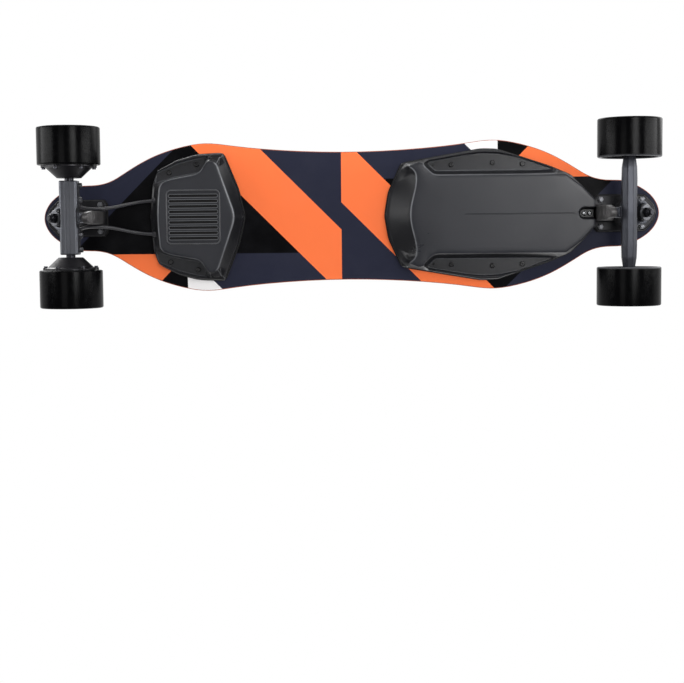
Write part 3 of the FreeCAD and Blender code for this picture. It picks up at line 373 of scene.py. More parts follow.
def heat_sink_material():
    """Black anodised aluminium, painted near black in and over its slots as shade, with a painted
    highlight round each slot's edge.
    """
    g = Graph("heat_sink", 0.38, 0.2, 0.0004, Specular_IOR_Level=0.4)
    x, y, z = g.axes()
    low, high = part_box("esc_heat_sink")
    # Painted shade: near black where the slots go deep.
    deep = g.span(z, low.z + 0.0004, low.z + 0.0016)
    cloud = g.noise(40.0, 4.0)
    shade = g.mix(cloud, srgb(33, 34, 38), srgb(45, 46, 51))
    along = g.size(g.less(x, (low.x + high.x) / 2))
    past_end = g.math("MAXIMUM", g.less(along, VENT_SLOT_HALF * MM), 0.0)
    shifted = g.add(y, VENT_PITCH / 2 * MM)
    row = g.less(g.math("PINGPONG", shifted, VENT_PITCH * MM), VENT_PITCH / 2 * MM)
    off_slot = g.less(g.length(past_end, row), VENT_SLOT_RADIUS * MM)
    in_rows = g.below(g.size(y), VENT_ROWS_HALF * MM)
    # The painted shade also covers each slot's outline, however deep the metal is there.
    in_slot = g.span(off_slot, -0.0005, -0.0001, 1.0, 0.0)
    deep = g.math("MAXIMUM", deep, g.times(in_rows, in_slot))
    # A painted highlight round each slot's edge.
    near_slot = g.span(g.size(g.less(off_slot, 0.4 * MM)), 0.0002, 0.0008, 1.0, 0.0)
    slot_edge_highlight = g.times(near_slot, g.less(1.0, deep), in_rows)
    shade = g.mix(g.times(slot_edge_highlight, 0.75), shade, srgb(108, 110, 114))
    g.colour(g.mix(deep, shade, srgb(9, 9, 10)))
    g.roughness(g.span(cloud, 0.3, 0.7, 0.34, 0.46))
    g.bump(g.cells(1400.0), 0.00004)
    return g.material


# ---------------------------------------------------------------- materials of the wheels
def off_axle(g, x, z):
    """How far each place of a wheel is from its axle."""
    return g.length(g.less(z, AXLE_Z * MM), g.less(g.size(x), AXLE_X * MM))


def tyre_material():
    """Cast black urethane: glossy, with a dusty running band, faint lathe lines, and a painted
    highlight on the front tyres' inner lip.
    """
    g = Graph("urethane_tyre", 0.2, Specular_IOR_Level=0.08)
    x, y, z = g.axes()
    across = g.size(y)
    radius = off_axle(g, x, z)
    outside = g.span(radius, 0.0465, 0.0478)
    flat = g.times(g.span(across, 0.088, 0.094), g.span(across, 0.127, 0.133, 1.0, 0.0))
    tread = g.times(outside, flat)
    cloud = g.noise(55.0, 5.0)
    turning = g.node("ShaderNodeCombineXYZ", X=g.times(radius, 2600.0), Y=g.times(y, 2600.0))
    lines = g.noise(1.0, 2.0, 0.5, turning.outputs[0])
    shade = g.mix(cloud, srgb(6, 6, 7), srgb(9, 9, 11))
    dust = g.times(tread, g.span(g.noise(120.0, 6.0), 0.5, 0.8, 0.0, 0.2))
    shade = g.mix(dust, shade, srgb(36, 36, 38))
    # A painted highlight on the front tyres' inner lip.
    inner_side = g.span(across, 0.0822, 0.0850, 1.0, 0.0)
    lip = g.times(inner_side, g.span(radius, 0.041, 0.043), g.above(x, 0.0))
    g.colour(g.mix(g.times(lip, 0.75), shade, srgb(116, 117, 121)))
    g.roughness(g.add(g.span(cloud, 0.3, 0.7, 0.17, 0.25), g.times(dust, 0.35)))
    g.bump(lines, 0.00004)
    g.bump(g.noise(420.0, 3.0), 0.00004)
    return g.material


def motor_can_material():
    """Black anodised aluminium with turning marks round its axle, and edges painted light: scuffs
    and a painted highlight.
    """
    g = Graph("motor_can", 0.36, 0.85, 0.0005)
    x, _, z = g.axes()
    turning = g.node("ShaderNodeCombineXYZ", X=g.times(off_axle(g, x, z), 2200.0))
    rings = g.noise(1.0, 3.0, 0.6, turning.outputs[0])
    colour = srgb(48, 48, 54)
    shade = g.mix(rings, toned(colour, 0.8), toned(colour, 1.3))
    # Edges painted light grey: partly scuffed metal, partly a painted highlight.
    g.colour(g.mix(g.edge_mask(), shade, srgb(150, 150, 155)))
    g.roughness(g.span(rings, 0.3, 0.7, 0.28, 0.44))
    g.bump(rings, 0.00003)
    return g.material


def bushing_material():
    """Black urethane that lets a little light in."""
    g = Graph("urethane_bushing", 0.38, edge=0.0006, Subsurface_Weight=0.1, Subsurface_Scale=0.002)
    colour = srgb(26, 26, 29)
    g.colour(g.mix(g.noise(80.0, 4.0), toned(colour, 0.8), toned(colour, 1.3)))
    g.roughness(g.span(g.noise(200.0), 0.3, 0.7, 0.3, 0.46))
    g.bump(g.noise(500.0), 0.00006)
    return g.material


def bearing_material():
    """Steel rings with a black shield between them."""
    g = Graph("bearing", 0.24, 0.9, 0.0003)
    x, _, z = g.axes()
    radius = off_axle(g, x, z)
    shield = g.times(g.above(radius, 0.0062), g.below(radius, 0.0095))
    steel = g.mix(g.noise(90.0), srgb(150, 152, 156), srgb(196, 198, 202))
    g.colour(g.mix(shield, steel, srgb(28, 28, 31)))
    g.roughness(g.add(0.2, g.times(shield, 0.3)))
    g.bump(g.noise(800.0), 0.00002)
    return g.material


def circuit_material():
    """Green lacquer over raised tracks."""
    g = Graph("circuit_board", 0.4, edge=0.0002)
    track = g.above(g.noise(160.0, 1.0, 0.4), 0.55)
    g.colour(g.mix(track, srgb(14, 62, 40), srgb(24, 90, 58)))
    g.roughness(g.span(g.noise(300.0), 0.3, 0.7, 0.3, 0.5))
    g.bump(track, 0.00006)
    return g.material


def baseplate_material():
    """Cast aluminium with a black coat, lighter grey in patches where it stands lowest, on its
    raised pivot block.
    """
    g = worn_and_highlit("cast_baseplate", srgb(36, 36, 39), 0.4, 0.45, 0.0009, 0.25, 620.0, 0.00012, 4.0)
    coat = g.shader.inputs["Base Color"].links[0].from_socket
    # Lighter grey in patches below 82 to 96 mm, on the pivot block.
    raised = g.span(g.axes()[2], 0.082, 0.096, 1.0, 0.0)
    bare = g.mix(g.noise(30.0, 4.0), srgb(76, 75, 76), srgb(104, 102, 102))
    patchy = g.span(g.noise(90.0, 4.0), 0.3, 0.6, 0.5, 0.95)
    g.colour(g.mix(g.times(raised, patchy), coat, bare))
    return g.material


MATERIALS = {
    "deck": deck_material(),
    "grip_tape": grip_material(),
    "cover_plastic": cover_material(),
    "foam": finish("foam_gasket", srgb(20, 20, 22), 0.9, 0.0, 0.0003, 0.3, 1500.0, 0.0003),
    # The grey and, much more, the edges are painted lighter, as painted highlights on the screws.
    "black_screw": finish(
        "black_oxide_screw", srgb(68, 68, 74), 0.26, 0.75, 0.0003, 0.3, 900.0, 0.00003, 9.0,
    ),
    "battery_cell": finish(
        "cell_sleeve", srgb(28, 74, 120), 0.36, 0.0, 0.0004, 0.15, 400.0, 0.00003,
    ),
    "nickel": finish("nickel_strip", srgb(178, 176, 168), 0.3, 0.95, 0.0002, 0.15, 700.0, 0.00002),
    "circuit_board": circuit_material(),
    "heat_sink": heat_sink_material(),
    "socket_plastic": finish(
        "socket_plastic", srgb(26, 26, 28), 0.34, 0.0, 0.0004, 0.2, 700.0, 0.00003,
    ),
    "wire": finish("cable_sleeve", srgb(44, 44, 48), 0.3, 0.0, 0.0003, 0.25, 1200.0, 0.00006),
    "riser_rubber": finish(
        "riser_rubber", srgb(18, 18, 19), 0.72, 0.0, 0.0005, 0.3, 800.0, 0.00012,
    ),
    "baseplate": baseplate_material(),
    "cup_plastic": finish("pivot_cup", srgb(24, 24, 26), 0.4, 0.0, 0.0004),
    "plated_steel": finish(
        "plated_steel", srgb(172, 173, 176), 0.26, 0.95, 0.0003, 0.15, 700.0, 0.00002, 1.3,
    ),
    "bushing": bushing_material(),
    "rear_hanger": finish(
        "satin_hanger", srgb(97, 99, 105), 0.38, 0.75, 0.001, 0.18, 520.0, 0.0001, 1.9,
    ),
    "front_hanger": finish(
        "black_hanger", srgb(62, 64, 71), 0.36, 0.6, 0.001, 0.2, 520.0, 0.0001, 2.2,
    ),
    "stator": finish("wound_stator", srgb(150, 82, 44), 0.34, 0.8, 0.0003, 0.3, 900.0, 0.0001),
    "motor_can": motor_can_material(),
    "magnet": finish("magnet", srgb(120, 122, 126), 0.28, 0.9, 0.0003, 0.1),
    "motor_cone": finish(
        "motor_cone", srgb(33, 32, 36), 0.34, 0.5, 0.0008, 0.2, 620.0, 0.00008, 3.0,
    ),
    "bearing": bearing_material(),
    "tyre": tyre_material(),
    "wheel_core": finish(
        "wheel_core", srgb(26, 26, 29), 0.36, 0.0, 0.0007, 0.2, 600.0, 0.00006, 2.2,
    ),
}


# ---------------------------------------------------------------- pieces
def placed(piece, body, slot, *nodes):
    """Gives a new object its material and body, and lets it stand for those CAD nodes."""
    piece.data.materials.clear()
    piece.data.materials.append(MATERIALS[slot])
    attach(piece, body)
    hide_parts(*nodes)
    return piece


def made(name, vertices, faces):
    """A smooth mesh object from points in millimetres."""
    mesh = bpy.data.meshes.new(name)
    mesh.from_pydata([Vector(point) * MM for point in vertices], [], faces)
    mesh.validate()
    flow = bmesh.new()
    flow.from_mesh(mesh)
    bmesh.ops.remove_doubles(flow, verts=flow.verts, dist=0.00001)
    bmesh.ops.recalc_face_normals(flow, faces=flow.faces)
    for face in flow.faces:
        face.smooth = True
    flow.to_mesh(mesh)
    flow.free()
    piece = bpy.data.objects.new(name, mesh)
    bpy.context.scene.collection.objects.link(piece)
    return piece


def arc_corners(points, radius, steps=7):
    """A closed outline with each corner cut by a smooth curve, up to that radius."""
    result = []
    for i, corner in enumerate(points):
        corner = Vector(corner)
        before = Vector(points[i - 1]) - corner
        after = Vector(points[(i + 1) % len(points)]) - corner
        reach = radius[i] if isinstance(radius, (list, tuple)) else radius
        reach = min(reach, before.length * 0.48, after.length * 0.48)
        start = corner + before.normalized() * reach
        end = corner + after.normalized() * reach
        for step in range(steps + 1):
            t = step / steps
            result.append(start * (1 - t) ** 2 + corner * 2 * t * (1 - t) + end * t ** 2)
    return result


def lathe(name, profile, x, segments=144):
    """A ring turned about a wheel's axle from a closed profile of (y, radius), in millimetres."""
    vertices = []
    faces = []
    count = len(profile)
    for i in range(segments):
        angle = math.tau * i / segments
        across, up = math.cos(angle), math.sin(angle)
        for y, radius in profile:
            vertices.append((x + radius * across, y, AXLE_Z + radius * up))
        for j in range(count):
            k = (j + 1) % count
            near, far = i * count, (i + 1) % segments * count
            faces.append((near + j, near + k, far + k, far + j))
    return made(name, vertices, faces)


def inside(points, x, y):
    """How far inside a closed outline each point is, negative outside, in millimetres."""
    nearest = np.full(x.shape, 1e9)
    enclosed = np.zeros(x.shape, bool)
    for (ax, ay), (bx, by) in zip(points, points[1:] + points[:1]):
        dx, dy = bx - ax, by - ay
        t = np.clip(((x - ax) * dx + (y - ay) * dy) / (dx * dx + dy * dy), 0, 1)
        nearest = np.minimum(nearest, np.hypot(x - ax - t * dx, y - ay - t * dy))
        crosses = (ay > y) != (by > y)
        enclosed ^= crosses & (x < ax + (y - ay) / (dy if dy else 1e-9) * dx)
    return np.where(enclosed, nearest, -nearest)


def soft_max(a, b, round_by):
    """The larger of two heights, with the corner where they cross rounded."""
    return (a + b + np.sqrt((a - b) ** 2 + round_by ** 2)) / 2


def soft_min(a, b, round_by):
    """The smaller of two heights, rounded in the same way."""
    return (a + b - np.sqrt((a - b) ** 2 + round_by ** 2)) / 2


def curl(y):
    """The same rise as concave_rise, worked out here for points, in millimetres."""
    out = np.maximum(np.abs(y) - DECK_FLAT, 0)
    return out ** 2 / (2 * CONCAVE_RADIUS)


SHEET_STEP = 0.8  # between the points of a cover's sheet, along the board
SHEET_COLUMNS = 260  # points across it
PORT_WALL = 0.9355  # the wall that the port shows in, as a share of the cover's half width
PORT_WALL_HALF = 0.0005  # half its thickness, as the same kind of share
OPENING_RADIUS = 6.15
RIM_GAP = 2.0  # from a cover's edge to the deck, where the seal is


def moulded(name, cover):
    """A cover as a sheet of points inside its rim's outline, with a wall round it.

    The points are closer together near the rim. There are two rows more on each side, for the
    steep wall that the port or the switch shows in.
    """
    ends = [px for px, py in cover.rim]
    along = sorted(set(ends) | set(np.arange(min(ends) + 0.5, max(ends), SHEET_STEP)))
    half = cover.half(along)
    spread = np.linspace(-1, 1, SHEET_COLUMNS)
    spread = 0.8 * spread + 0.2 * np.sin(spread * math.pi / 2)
    wall = (PORT_WALL - PORT_WALL_HALF, PORT_WALL + PORT_WALL_HALF)
    spread = np.union1d(spread, [side * share for side in (-1, 1) for share in wall])
    columns = len(spread)
    x = np.repeat(np.array(along)[:, None], columns, axis=1)
    y = half[:, None] * spread[None, :]
    z = cover.height(x, y)
    rows = len(along)
    vertices = [tuple(point) for point in np.stack([x, y, z], -1).reshape(-1, 3)]
    faces = []
    for i in range(rows - 1):
        for j in range(columns - 1):
            here = i * columns + j
            faces.append((here, here + 1, here + 1 + columns, here + columns))
    edge = [i * columns for i in range(rows)]
    edge += [(rows - 1) * columns + j for j in range(1, columns)]
    edge += [i * columns + columns - 1 for i in range(rows - 2, -1, -1)]
    edge += list(range(columns - 2, 0, -1))
    top = len(vertices)
    for index in edge:
        px, py, pz = vertices[index]
        vertices.append((px, py, DECK_LOW - RIM_GAP + float(curl(py))))
    count = len(edge)
    for i in range(count):
        k = (i + 1) % count
        faces.append((edge[i], edge[k], top + k, top + i))
    piece = made(name, vertices, faces)
    for centre in cover.openings:
        opened(piece, centre, OPENING_RADIUS)
    points = np.empty(len(piece.data.vertices) * 3)
    piece.data.vertices.foreach_get("co", points)
    x, y, z = points.reshape(-1, 3).T / MM
    low_enough = step_up(z, POCKET_FLOOR + 2, POCKET_FLOOR + 1)  # the hidden upper edge stays plain
    # Painted light for the material to read: lit faces, highlight lines, and light lines at the
    # pockets' floors.
    paint(piece, "face", cover.lit_face_share(x, y) * low_enough)
    paint(piece, "highlight_line", cover.highlight_line(x, y) * low_enough)
    paint(piece, "crease_highlight", cover.crease_highlight(x, y) * low_enough)
    return piece


def opened(piece, centre, radius, sides=32):
    """Cuts a round hole along Y through the side wall at that place, in millimetres."""
    centre, radius = Vector(centre) * MM, radius * MM
    flow = bmesh.new()
    flow.from_mesh(piece.data)
    angles = np.arange(sides) * math.tau / sides
    ways = [Vector((math.cos(angle), 0, math.sin(angle))) for angle in angles]

    def within(face, reach):
        """Whether that face of the wall lies in a polygon of that size about the hole's middle."""
        off = face.calc_center_median() - centre
        return abs(off.y) < 1.5 * MM and all(off.dot(way) < reach for way in ways)

    for way in ways:
        near = [face for face in flow.faces if within(face, radius * 1.5)]
        parts = {part for face in near for part in (face, *face.edges, *face.verts)}
        edge = centre + way * radius
        bmesh.ops.bisect_plane(flow, geom=list(parts), plane_co=edge, plane_no=way, dist=1e-7)
    gone = [face for face in flow.faces if within(face, radius)]
    bmesh.ops.delete(flow, geom=gone, context="FACES")
    flow.to_mesh(piece.data)
    flow.free()


def paint(piece, name, values):
    """Keeps a value for each point of a piece, for its material to read."""
    kept = piece.data.attributes.new(name, "FLOAT", "POINT")
    kept.data.foreach_set("value", np.ascontiguousarray(values, np.float32))


# Outlines of the covers, as their halves on the +Y side. The rim lies against the deck, the base is
# where the sloping walls meet the rim, and the face is the edge of the flat bottom. A pocket is the
# sunk ledge with screws on one side.
BATTERY_RIM = [
    (57, 0), (63, 36), (83, 80), (206, 101), (232, 100), (312, 73), (345, 59), (364, 40), (380, 22),
]
BATTERY_BASE = [(57, 0), (63, 36), (83, 80), (124, 87), (140, 70), (336, 66), (363, 42), (380, 22)]
BATTERY_FACE = [
    (96.3, 0), (96.8, 10), (98.8, 20), (101.5, 31), (104.3, 43), (105.6, 54), (104.8, 63),
    (100.5, 70), (92.5, 74.5), (110, 81), (117, 78), (125, 66), (137, 60), (334, 60),
    (359, 41.5), (379.5, 20),
]
BATTERY_POCKET = [
    (135, 68), (123, 79), (125, 82.5), (185, 92.5), (207, 94.5), (234, 93.5), (264, 87.5),
    (318, 68.5), (300, 68),
]
SLOT_START = 363.5  # of the slot for two screws, at the battery cover's nose
SLOT_HALF = 9.0
SLOT_FLOOR = 98.0
SLOT_SCREW_GAP = 8.5  # from the first screw to the second

ESC_RIM = [
    (-163.5, 0), (-174, 44), (-196.5, 99), (-238, 97), (-268, 89), (-299, 73), (-307, 50),
    (-311, 0),
]
ESC_BASE = [
    (-163.5, 0), (-174, 44), (-196.5, 99), (-219, 97), (-230, 73), (-277, 62), (-305, 53),
    (-311, 0),
]
ESC_FACE = [
    (-177, 0), (-178.5, 10), (-203.5, 82.5), (-216, 88), (-228, 70), (-236, 66), (-277, 58),
    (-292.5, 51), (-295.5, 18), (-296, 0),
]
ESC_POCKET = [
    (-219.5, 94), (-230.4, 73), (-237, 69), (-276, 62), (-303.5, 53), (-301.4, 69.5), (-268, 84),
    (-240, 91),
]
VENT_X = sum(corner.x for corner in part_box("esc_heat_sink")) / 2 / MM
VENT_HALF = 41.0
ESC_CORNER = (-203.5, 82.5)  # the face's front corner
ESC_CORNER_RUN = (8.0, 14.0)  # from there to the rim

# The housings in the controller cover's side walls, for the port and for the switch.
PORT_X = sum(corner.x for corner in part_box("charge_port")) / 2 / MM
PORT_Y, PORT_Z = 92.2, 96.5
PORT_HALF = 8.0  # half a housing's width, along the board
PORT_LOW = 87.5
PORT_SLOPE = 2.6  # the rise of its sides
PORT_REACH = 80.0  # how far out it begins

RIM_LOW = 104.0
RIM_ROUND = 3.5
POCKET_FLOOR = 110.5
CRISP = 3.0  # how far an outline's corner is cut where it is to look sharp
EDGE_INSET = 0.2  # of a drawn line from the edge it follows


def whole(half):
    """A closed outline from its half on the +Y side."""
    return list(half) + [(x, -y) for x, y in reversed(half) if y]


def eased(points, reach):
    """The outline with its corners drawn as short curves."""
    return [(corner.x, corner.y) for corner in arc_corners(points, reach, 4)]


def line(distance, at, width):
    """One along a line at that distance from an outline, fading to nothing over its width."""
    return np.exp(-((distance - at) / width) ** 2)


def step_up(value, low, high):
    """Rises from nothing at low to one at high, which may be the smaller of the two."""
    return np.clip((value - low) / (high - low), 0, 1)


class Cover:
    """A moulded cover: a deep body, a rim round it, and two sunk pockets for screws."""

    openings = []
    crease_highlight_width = 0.7

    def __init__(self, rim, base, face, pocket, low, ramp, soft, crisp_from):
        """Takes the four outlines, the face's height and the width of a pocket's wall.

        The corners of the base and the face are cut by soft, or by CRISP past crisp_from.
        """
        def softened(half):
            outline = whole(half)
            return eased(outline, [CRISP if px > crisp_from else soft for px, py in outline])

        self.rim = rim
        self.base = softened(base)
        self.face = softened(face)
        self.pocket = eased(pocket, 4.0)
        self.low = low
        self.ramp = ramp

    def half(self, x):
        """Half the cover's width at each place along it."""
        ordered = sorted(self.rim)
        return np.interp(x, [px for px, py in ordered], [py for px, py in ordered])

    def measure(self, x, y):
        """How far inside the face and a pocket each point is."""
        return inside(self.face, x, y), inside(self.pocket, x, np.abs(y))

    def height(self, x, y):
        """The outer surface's height at each place."""
        in_face, in_pocket = self.measure(x, y)
        in_base = inside(self.base, x, y)
        in_rim = inside(whole(self.rim), x, y)
        share = -in_face / np.maximum(np.abs(in_face) + np.abs(in_base), 1e-6)
        # The walls run on 3 mm past the rim, for soft_min to round the corner between them.
        deep = RIM_LOW + 3 - self.low
        wall = np.where(in_face > 0, -in_face, np.where(in_base > 0, share * deep, deep))
        body = self.low + (wall + np.sqrt(wall ** 2 + 2.5 ** 2)) / 2
        lip = np.maximum(RIM_ROUND - in_rim, 0)
        plate = RIM_LOW + RIM_ROUND - np.sqrt(np.maximum(RIM_ROUND ** 2 - lip ** 2, 0))
        z = soft_min(body, plate, 1.5)
        rise = (POCKET_FLOOR - self.low) / self.ramp
        sunk = np.minimum(self.low + (in_pocket + self.ramp) * rise, POCKET_FLOOR)
        return soft_max(z, np.maximum(sunk, self.low - 4), 1.0)

    def lit_face_share(self, x, y):
        """How much painted light each point gets: one on the flat face, less in the pockets, and
        nothing on the walls, which stay painted in shade.
        """
        in_face, in_pocket = self.measure(x, y)
        on_face = step_up(in_face, -0.8, 0.8) * step_up(in_pocket, -self.ramp, -self.ramp - 1)
        return np.maximum(on_face, 0.45 * step_up(in_pocket, -self.ramp, 0.5))

    def crease_highlight(self, x, y):
        """The painted highlight line where a pocket's floor begins."""
        return line(self.measure(x, y)[1], EDGE_INSET, self.crease_highlight_width)


class BatteryCover(Cover):
    """The front cover, with a slot in its nose."""

    def in_slot(self, x, y):
        """How far inside the slot each point is."""
        return SLOT_HALF - np.where(x > SLOT_START, np.abs(y), np.hypot(x - SLOT_START, y))

    def height(self, x, y):
        z = super().height(x, y)
        sunk = np.minimum(self.low - 3 + np.maximum(self.in_slot(x, y) + 1, 0) * 6, SLOT_FLOOR)
        return soft_max(z, sunk, 0.8)

    def lit_face_share(self, x, y):
        # The slot in the nose stays painted in shade.
        return super().lit_face_share(x, y) * step_up(self.in_slot(x, y), 0.5, -0.5)

    def highlight_line(self, x, y):
        """The painted highlight lines, also a little glossier: the face's rear edge, and the
        pockets' inner edges.

        They fade out towards the rim and the nose, and are fainter on the +Y side.
        """
        in_face, in_pocket = self.measure(x, y)
        rear = line(in_face, EDGE_INSET, 0.8) * step_up(x, 112, 106) * step_up(np.abs(y), 78, 70)
        side = line(in_pocket, -self.ramp, 0.8) * step_up(np.abs(y), 82, 76) * step_up(x, 334, 320)
        rear = rear * (1 - 0.4 * step_up(y, 10, 60))
        side = 0.6 * side * (1 - 0.7 * step_up(y, -10, 10))
        return np.maximum(rear, side)


class ControllerCover(Cover):
    """The rear cover, with a window for the heat sink and housings for the port and the switch."""

    openings = [(PORT_X, PORT_Y, PORT_Z), (PORT_X, -PORT_Y, PORT_Z)]
    crease_highlight_width = 0.8

    def height(self, x, y):
        z = super().height(x, y)
        beside = np.maximum(np.abs(x - PORT_X) - PORT_HALF, 0)
        boss = soft_min(z, PORT_LOW + beside * PORT_SLOPE, 2.0)
        boss = z + (boss - z) * step_up(np.abs(y), PORT_REACH - 4, PORT_REACH + 2)
        niche = soft_max(z, RIM_LOW - 0.2 - beside * PORT_SLOPE, 1.0)
        z = np.where(np.abs(y) > PORT_WALL * self.half(x), niche, boss)
        window = VENT_HALF - 0.6 - np.maximum(np.abs(x - VENT_X), np.abs(y))
        return np.where(window > 0, self.low + 6, z)

    def highlight_line(self, x, y):
        """The painted highlight lines, also a little glossier: the face's front and rear edges, the
        pockets' and the corners'.

        They are fainter on the +Y side.
        """
        in_face, in_pocket = self.measure(x, y)
        front = line(in_face, EDGE_INSET, 0.9) * step_up(x, -208, -204)
        rear = line(in_face, EDGE_INSET, 0.9) * step_up(x, -286, -291)
        side = line(in_pocket, -self.ramp, 0.8) * step_up(in_face, -6, -2)
        (corner_x, corner_y), (run_x, run_y) = ESC_CORNER, ESC_CORNER_RUN
        along = np.clip((x - corner_x) / run_x, 0, 1)
        off_x = x - corner_x - run_x * along
        off_y = np.abs(y) - corner_y - run_y * along
        corner = line(np.hypot(off_x, off_y), 0, 0.8)
        lines = np.maximum(np.maximum(front, rear), np.maximum(0.6 * side, 0.8 * corner))
        return lines * (1 - 0.4 * step_up(y, 0, 60))


BATTERY_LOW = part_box("battery_cover")[0].z / MM
ESC_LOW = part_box("esc_cover")[0].z / MM
battery = BatteryCover(
    BATTERY_RIM, BATTERY_BASE, BATTERY_FACE, BATTERY_POCKET, BATTERY_LOW,
    ramp=7.5, soft=14.0, crisp_from=108.0,
)
controller = ControllerCover(
    ESC_RIM, ESC_BASE, ESC_FACE, ESC_POCKET, ESC_LOW,
    ramp=3.5, soft=8.0, crisp_from=0.0,
)
placed(moulded("battery_shell", battery), "board", "cover_plastic", "battery_cover")
placed(moulded("controller_shell", controller), "board", "cover_plastic", "esc_cover")


def tube(name, points, radius, cyclic=False, resolution=10):
    """A round tube along a smooth line through those points, in millimetres, as a mesh."""
    curve = bpy.data.curves.new(name, "CURVE")
    curve.dimensions = "3D"
    curve.bevel_depth = radius * MM
    curve.bevel_resolution = 5
    curve.resolution_u = resolution
    curve.use_fill_caps = not cyclic
    spline = curve.splines.new("NURBS")
    spline.points.add(len(points) - 1)
    for point, place in zip(spline.points, points):
        point.co = (place[0] * MM, place[1] * MM, place[2] * MM, 1)
    spline.order_u = 3
    spline.use_endpoint_u = not cyclic
    spline.use_cyclic_u = cyclic
    source = bpy.data.objects.new(name + "_line", curve)
    mesh = bpy.data.meshes.new_from_object(source)
    mesh.name = name
    bpy.data.objects.remove(source)
    for face in mesh.polygons:
        face.use_smooth = True
    piece = bpy.data.objects.new(name, mesh)
    bpy.context.scene.collection.objects.link(piece)
    return piece


def rounded_square(half, radius, z, steps=6):
    """Points round the vent's edge."""
    points = []
    for quarter in range(4):
        middle = math.pi / 2 * (quarter + 0.5)
        centre_x = math.copysign(half - radius, math.cos(middle))
        centre_y = math.copysign(half - radius, math.sin(middle))
        for step in range(steps + 1):
            angle = math.pi / 2 * (quarter + step / steps)
            x = VENT_X + centre_x + radius * math.cos(angle)
            points.append((x, centre_y + radius * math.sin(angle), z))
    return points


def turned(name, profile, x, y, segments=32):
    """A closed form turned about an upright line from (radius, z) points, in millimetres."""
    vertices = []
    faces = []
    count = len(profile)
    for i in range(segments):
        angle = math.tau * i / segments
        vertices += [(x + r * math.cos(angle), y + r * math.sin(angle), z) for r, z in profile]
        for j in range(count - 1):
            near, far = i * count, (i + 1) % segments * count
            faces.append((near + j, near + j + 1, far + j + 1, far + j))
    return made(name, vertices, faces)


SCREW_HEAD = [  # (radius, z)
    (0.0, 95.2), (0.5, 95.2), (0.8, 94.7), (2.0, 94.8), (2.9, 95.5), (3.3, 96.8), (3.3, 98.6),
    (0.0, 98.6),
]
for number, x in enumerate((SLOT_START, SLOT_START + SLOT_SCREW_GAP)):
    placed(turned(f"slot_screw_{number + 1}", SCREW_HEAD, x, 0), "board", "plated_steel")

border = rounded_square(VENT_HALF + 0.4, 7.0, ESC_LOW + 0.3)
bead = tube("vent_border", border, 1.1, cyclic=True)
# A faint painted highlight all along the bead.
paint(bead, "highlight_line", np.full(len(bead.data.vertices), 0.28))
placed(bead, "board", "cover_plastic")


SHADE_SEAL_RADIUS = 1.9
SHADE_SEAL_DROP = 1.7  # of its middle below the deck


def shade_seal(name, rim):
    """A black rubber lip all round a cover, which also stands in for the dark shade line along its
    edge.
    """
    points = []
    for corner in arc_corners(whole(rim), 7.0, 3):
        points.append((corner.x, corner.y, DECK_LOW - SHADE_SEAL_DROP + float(curl(corner.y))))
    placed(tube(name, points, SHADE_SEAL_RADIUS, cyclic=True, resolution=3), "board", "riser_rubber")


# Black lips that also stand in for the shade line round each cover.
shade_seal("battery_shade_seal", BATTERY_RIM)
shade_seal("controller_shade_seal", ESC_RIM)


# ---------------------------------------------------------------- wheels
TYRE_RADIUS = 48.0
TYRES = {  # place of the axle, hole, lip, depth of the dish, inner shoulder, outer shoulder
    "front": (AXLE_X, 28.5, 42.5, 7.0, 3.0, 6.0),
    "motor": (-AXLE_X, 37.8, 41.5, 1.5, 2.5, 5.0),
}


def tyre_profile(inner, outer, hole, lip, depth, inner_shoulder, outer_shoulder):
    """A tyre's section: a wide flat tread, round shoulders, and lips round dished sides."""
    points = [
        (inner + depth, hole), (inner + depth, lip - 2), (inner, lip), (inner, TYRE_RADIUS),
        (outer, TYRE_RADIUS), (outer, lip), (outer - depth, lip - 2), (outer - depth, hole),
    ]
    reach = [1.0, 2.5, 1.2, inner_shoulder, outer_shoulder, 1.2, 2.5, 1.0]
    return [tuple(point) for point in arc_corners(points, reach)]


for side, sign in SIDES:
    for end, (axle, *shape) in TYRES.items():
        near, far = sorted(abs(corner.y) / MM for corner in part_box(f"{side}_{end}_tyre"))
        profile = [(sign * y, radius) for y, radius in tyre_profile(near, far, *shape)]
        ring = lathe(f"{side}_{end}_urethane", profile, axle)
        placed(ring, f"{side}_{end}_wheel", "tyre", f"{side}_{end}_tyre")


# ---------------------------------------------------------------- castings
CAST_VOXEL = 0.9
CAST_SMOOTHING = 6


def cast(node, body, slot):
    """A piece in a CAD node's place, with the soft edges of a casting."""
    piece = bpy.data.objects.new(f"{node}_casting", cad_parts[node].data.copy())
    bpy.context.scene.collection.objects.link(piece)
    remesh = piece.modifiers.new("Remesh", "REMESH")
    remesh.mode = "VOXEL"
    remesh.voxel_size = CAST_VOXEL * MM
    remesh.use_smooth_shade = True
    smooth = piece.modifiers.new("Smooth", "SMOOTH")
    smooth.factor = 0.5
    smooth.iterations = CAST_SMOOTHING
    return placed(piece, body, slot, node)


cast("rear_hanger", "rear_truck", "rear_hanger")
cast("front_hanger", "front_truck", "front_hanger")
for end in ("rear", "front"):
    cast(f"{end}_baseplate", "board", "baseplate")


# ---------------------------------------------------------------- motor cables
CABLE_RADIUS = 2.5
CABLE_ROUTE = [
    (-307.0, 26.0, 99.0), (-322.0, 25.0, 98.0), (-341.0, 21.5, 93.0), (-362.0, 16.5, 86.0),
    (-383.0, 13.6, 78.0), (-400.0, 13.6, 69.0), (-411.5, 16.5, 59.5), (-417.6, 19.8, 54.9),
]
BRANCH_RADIUS = 1.0
BRANCH_ROUTE = [
    (-412.0, 17.5, 59.0), (-408.5, 23.0, 58.5), (-408.0, 29.0, 56.0), (-411.0, 33.0, 53.5),
    (-414.5, 34.0, 51.5),
]

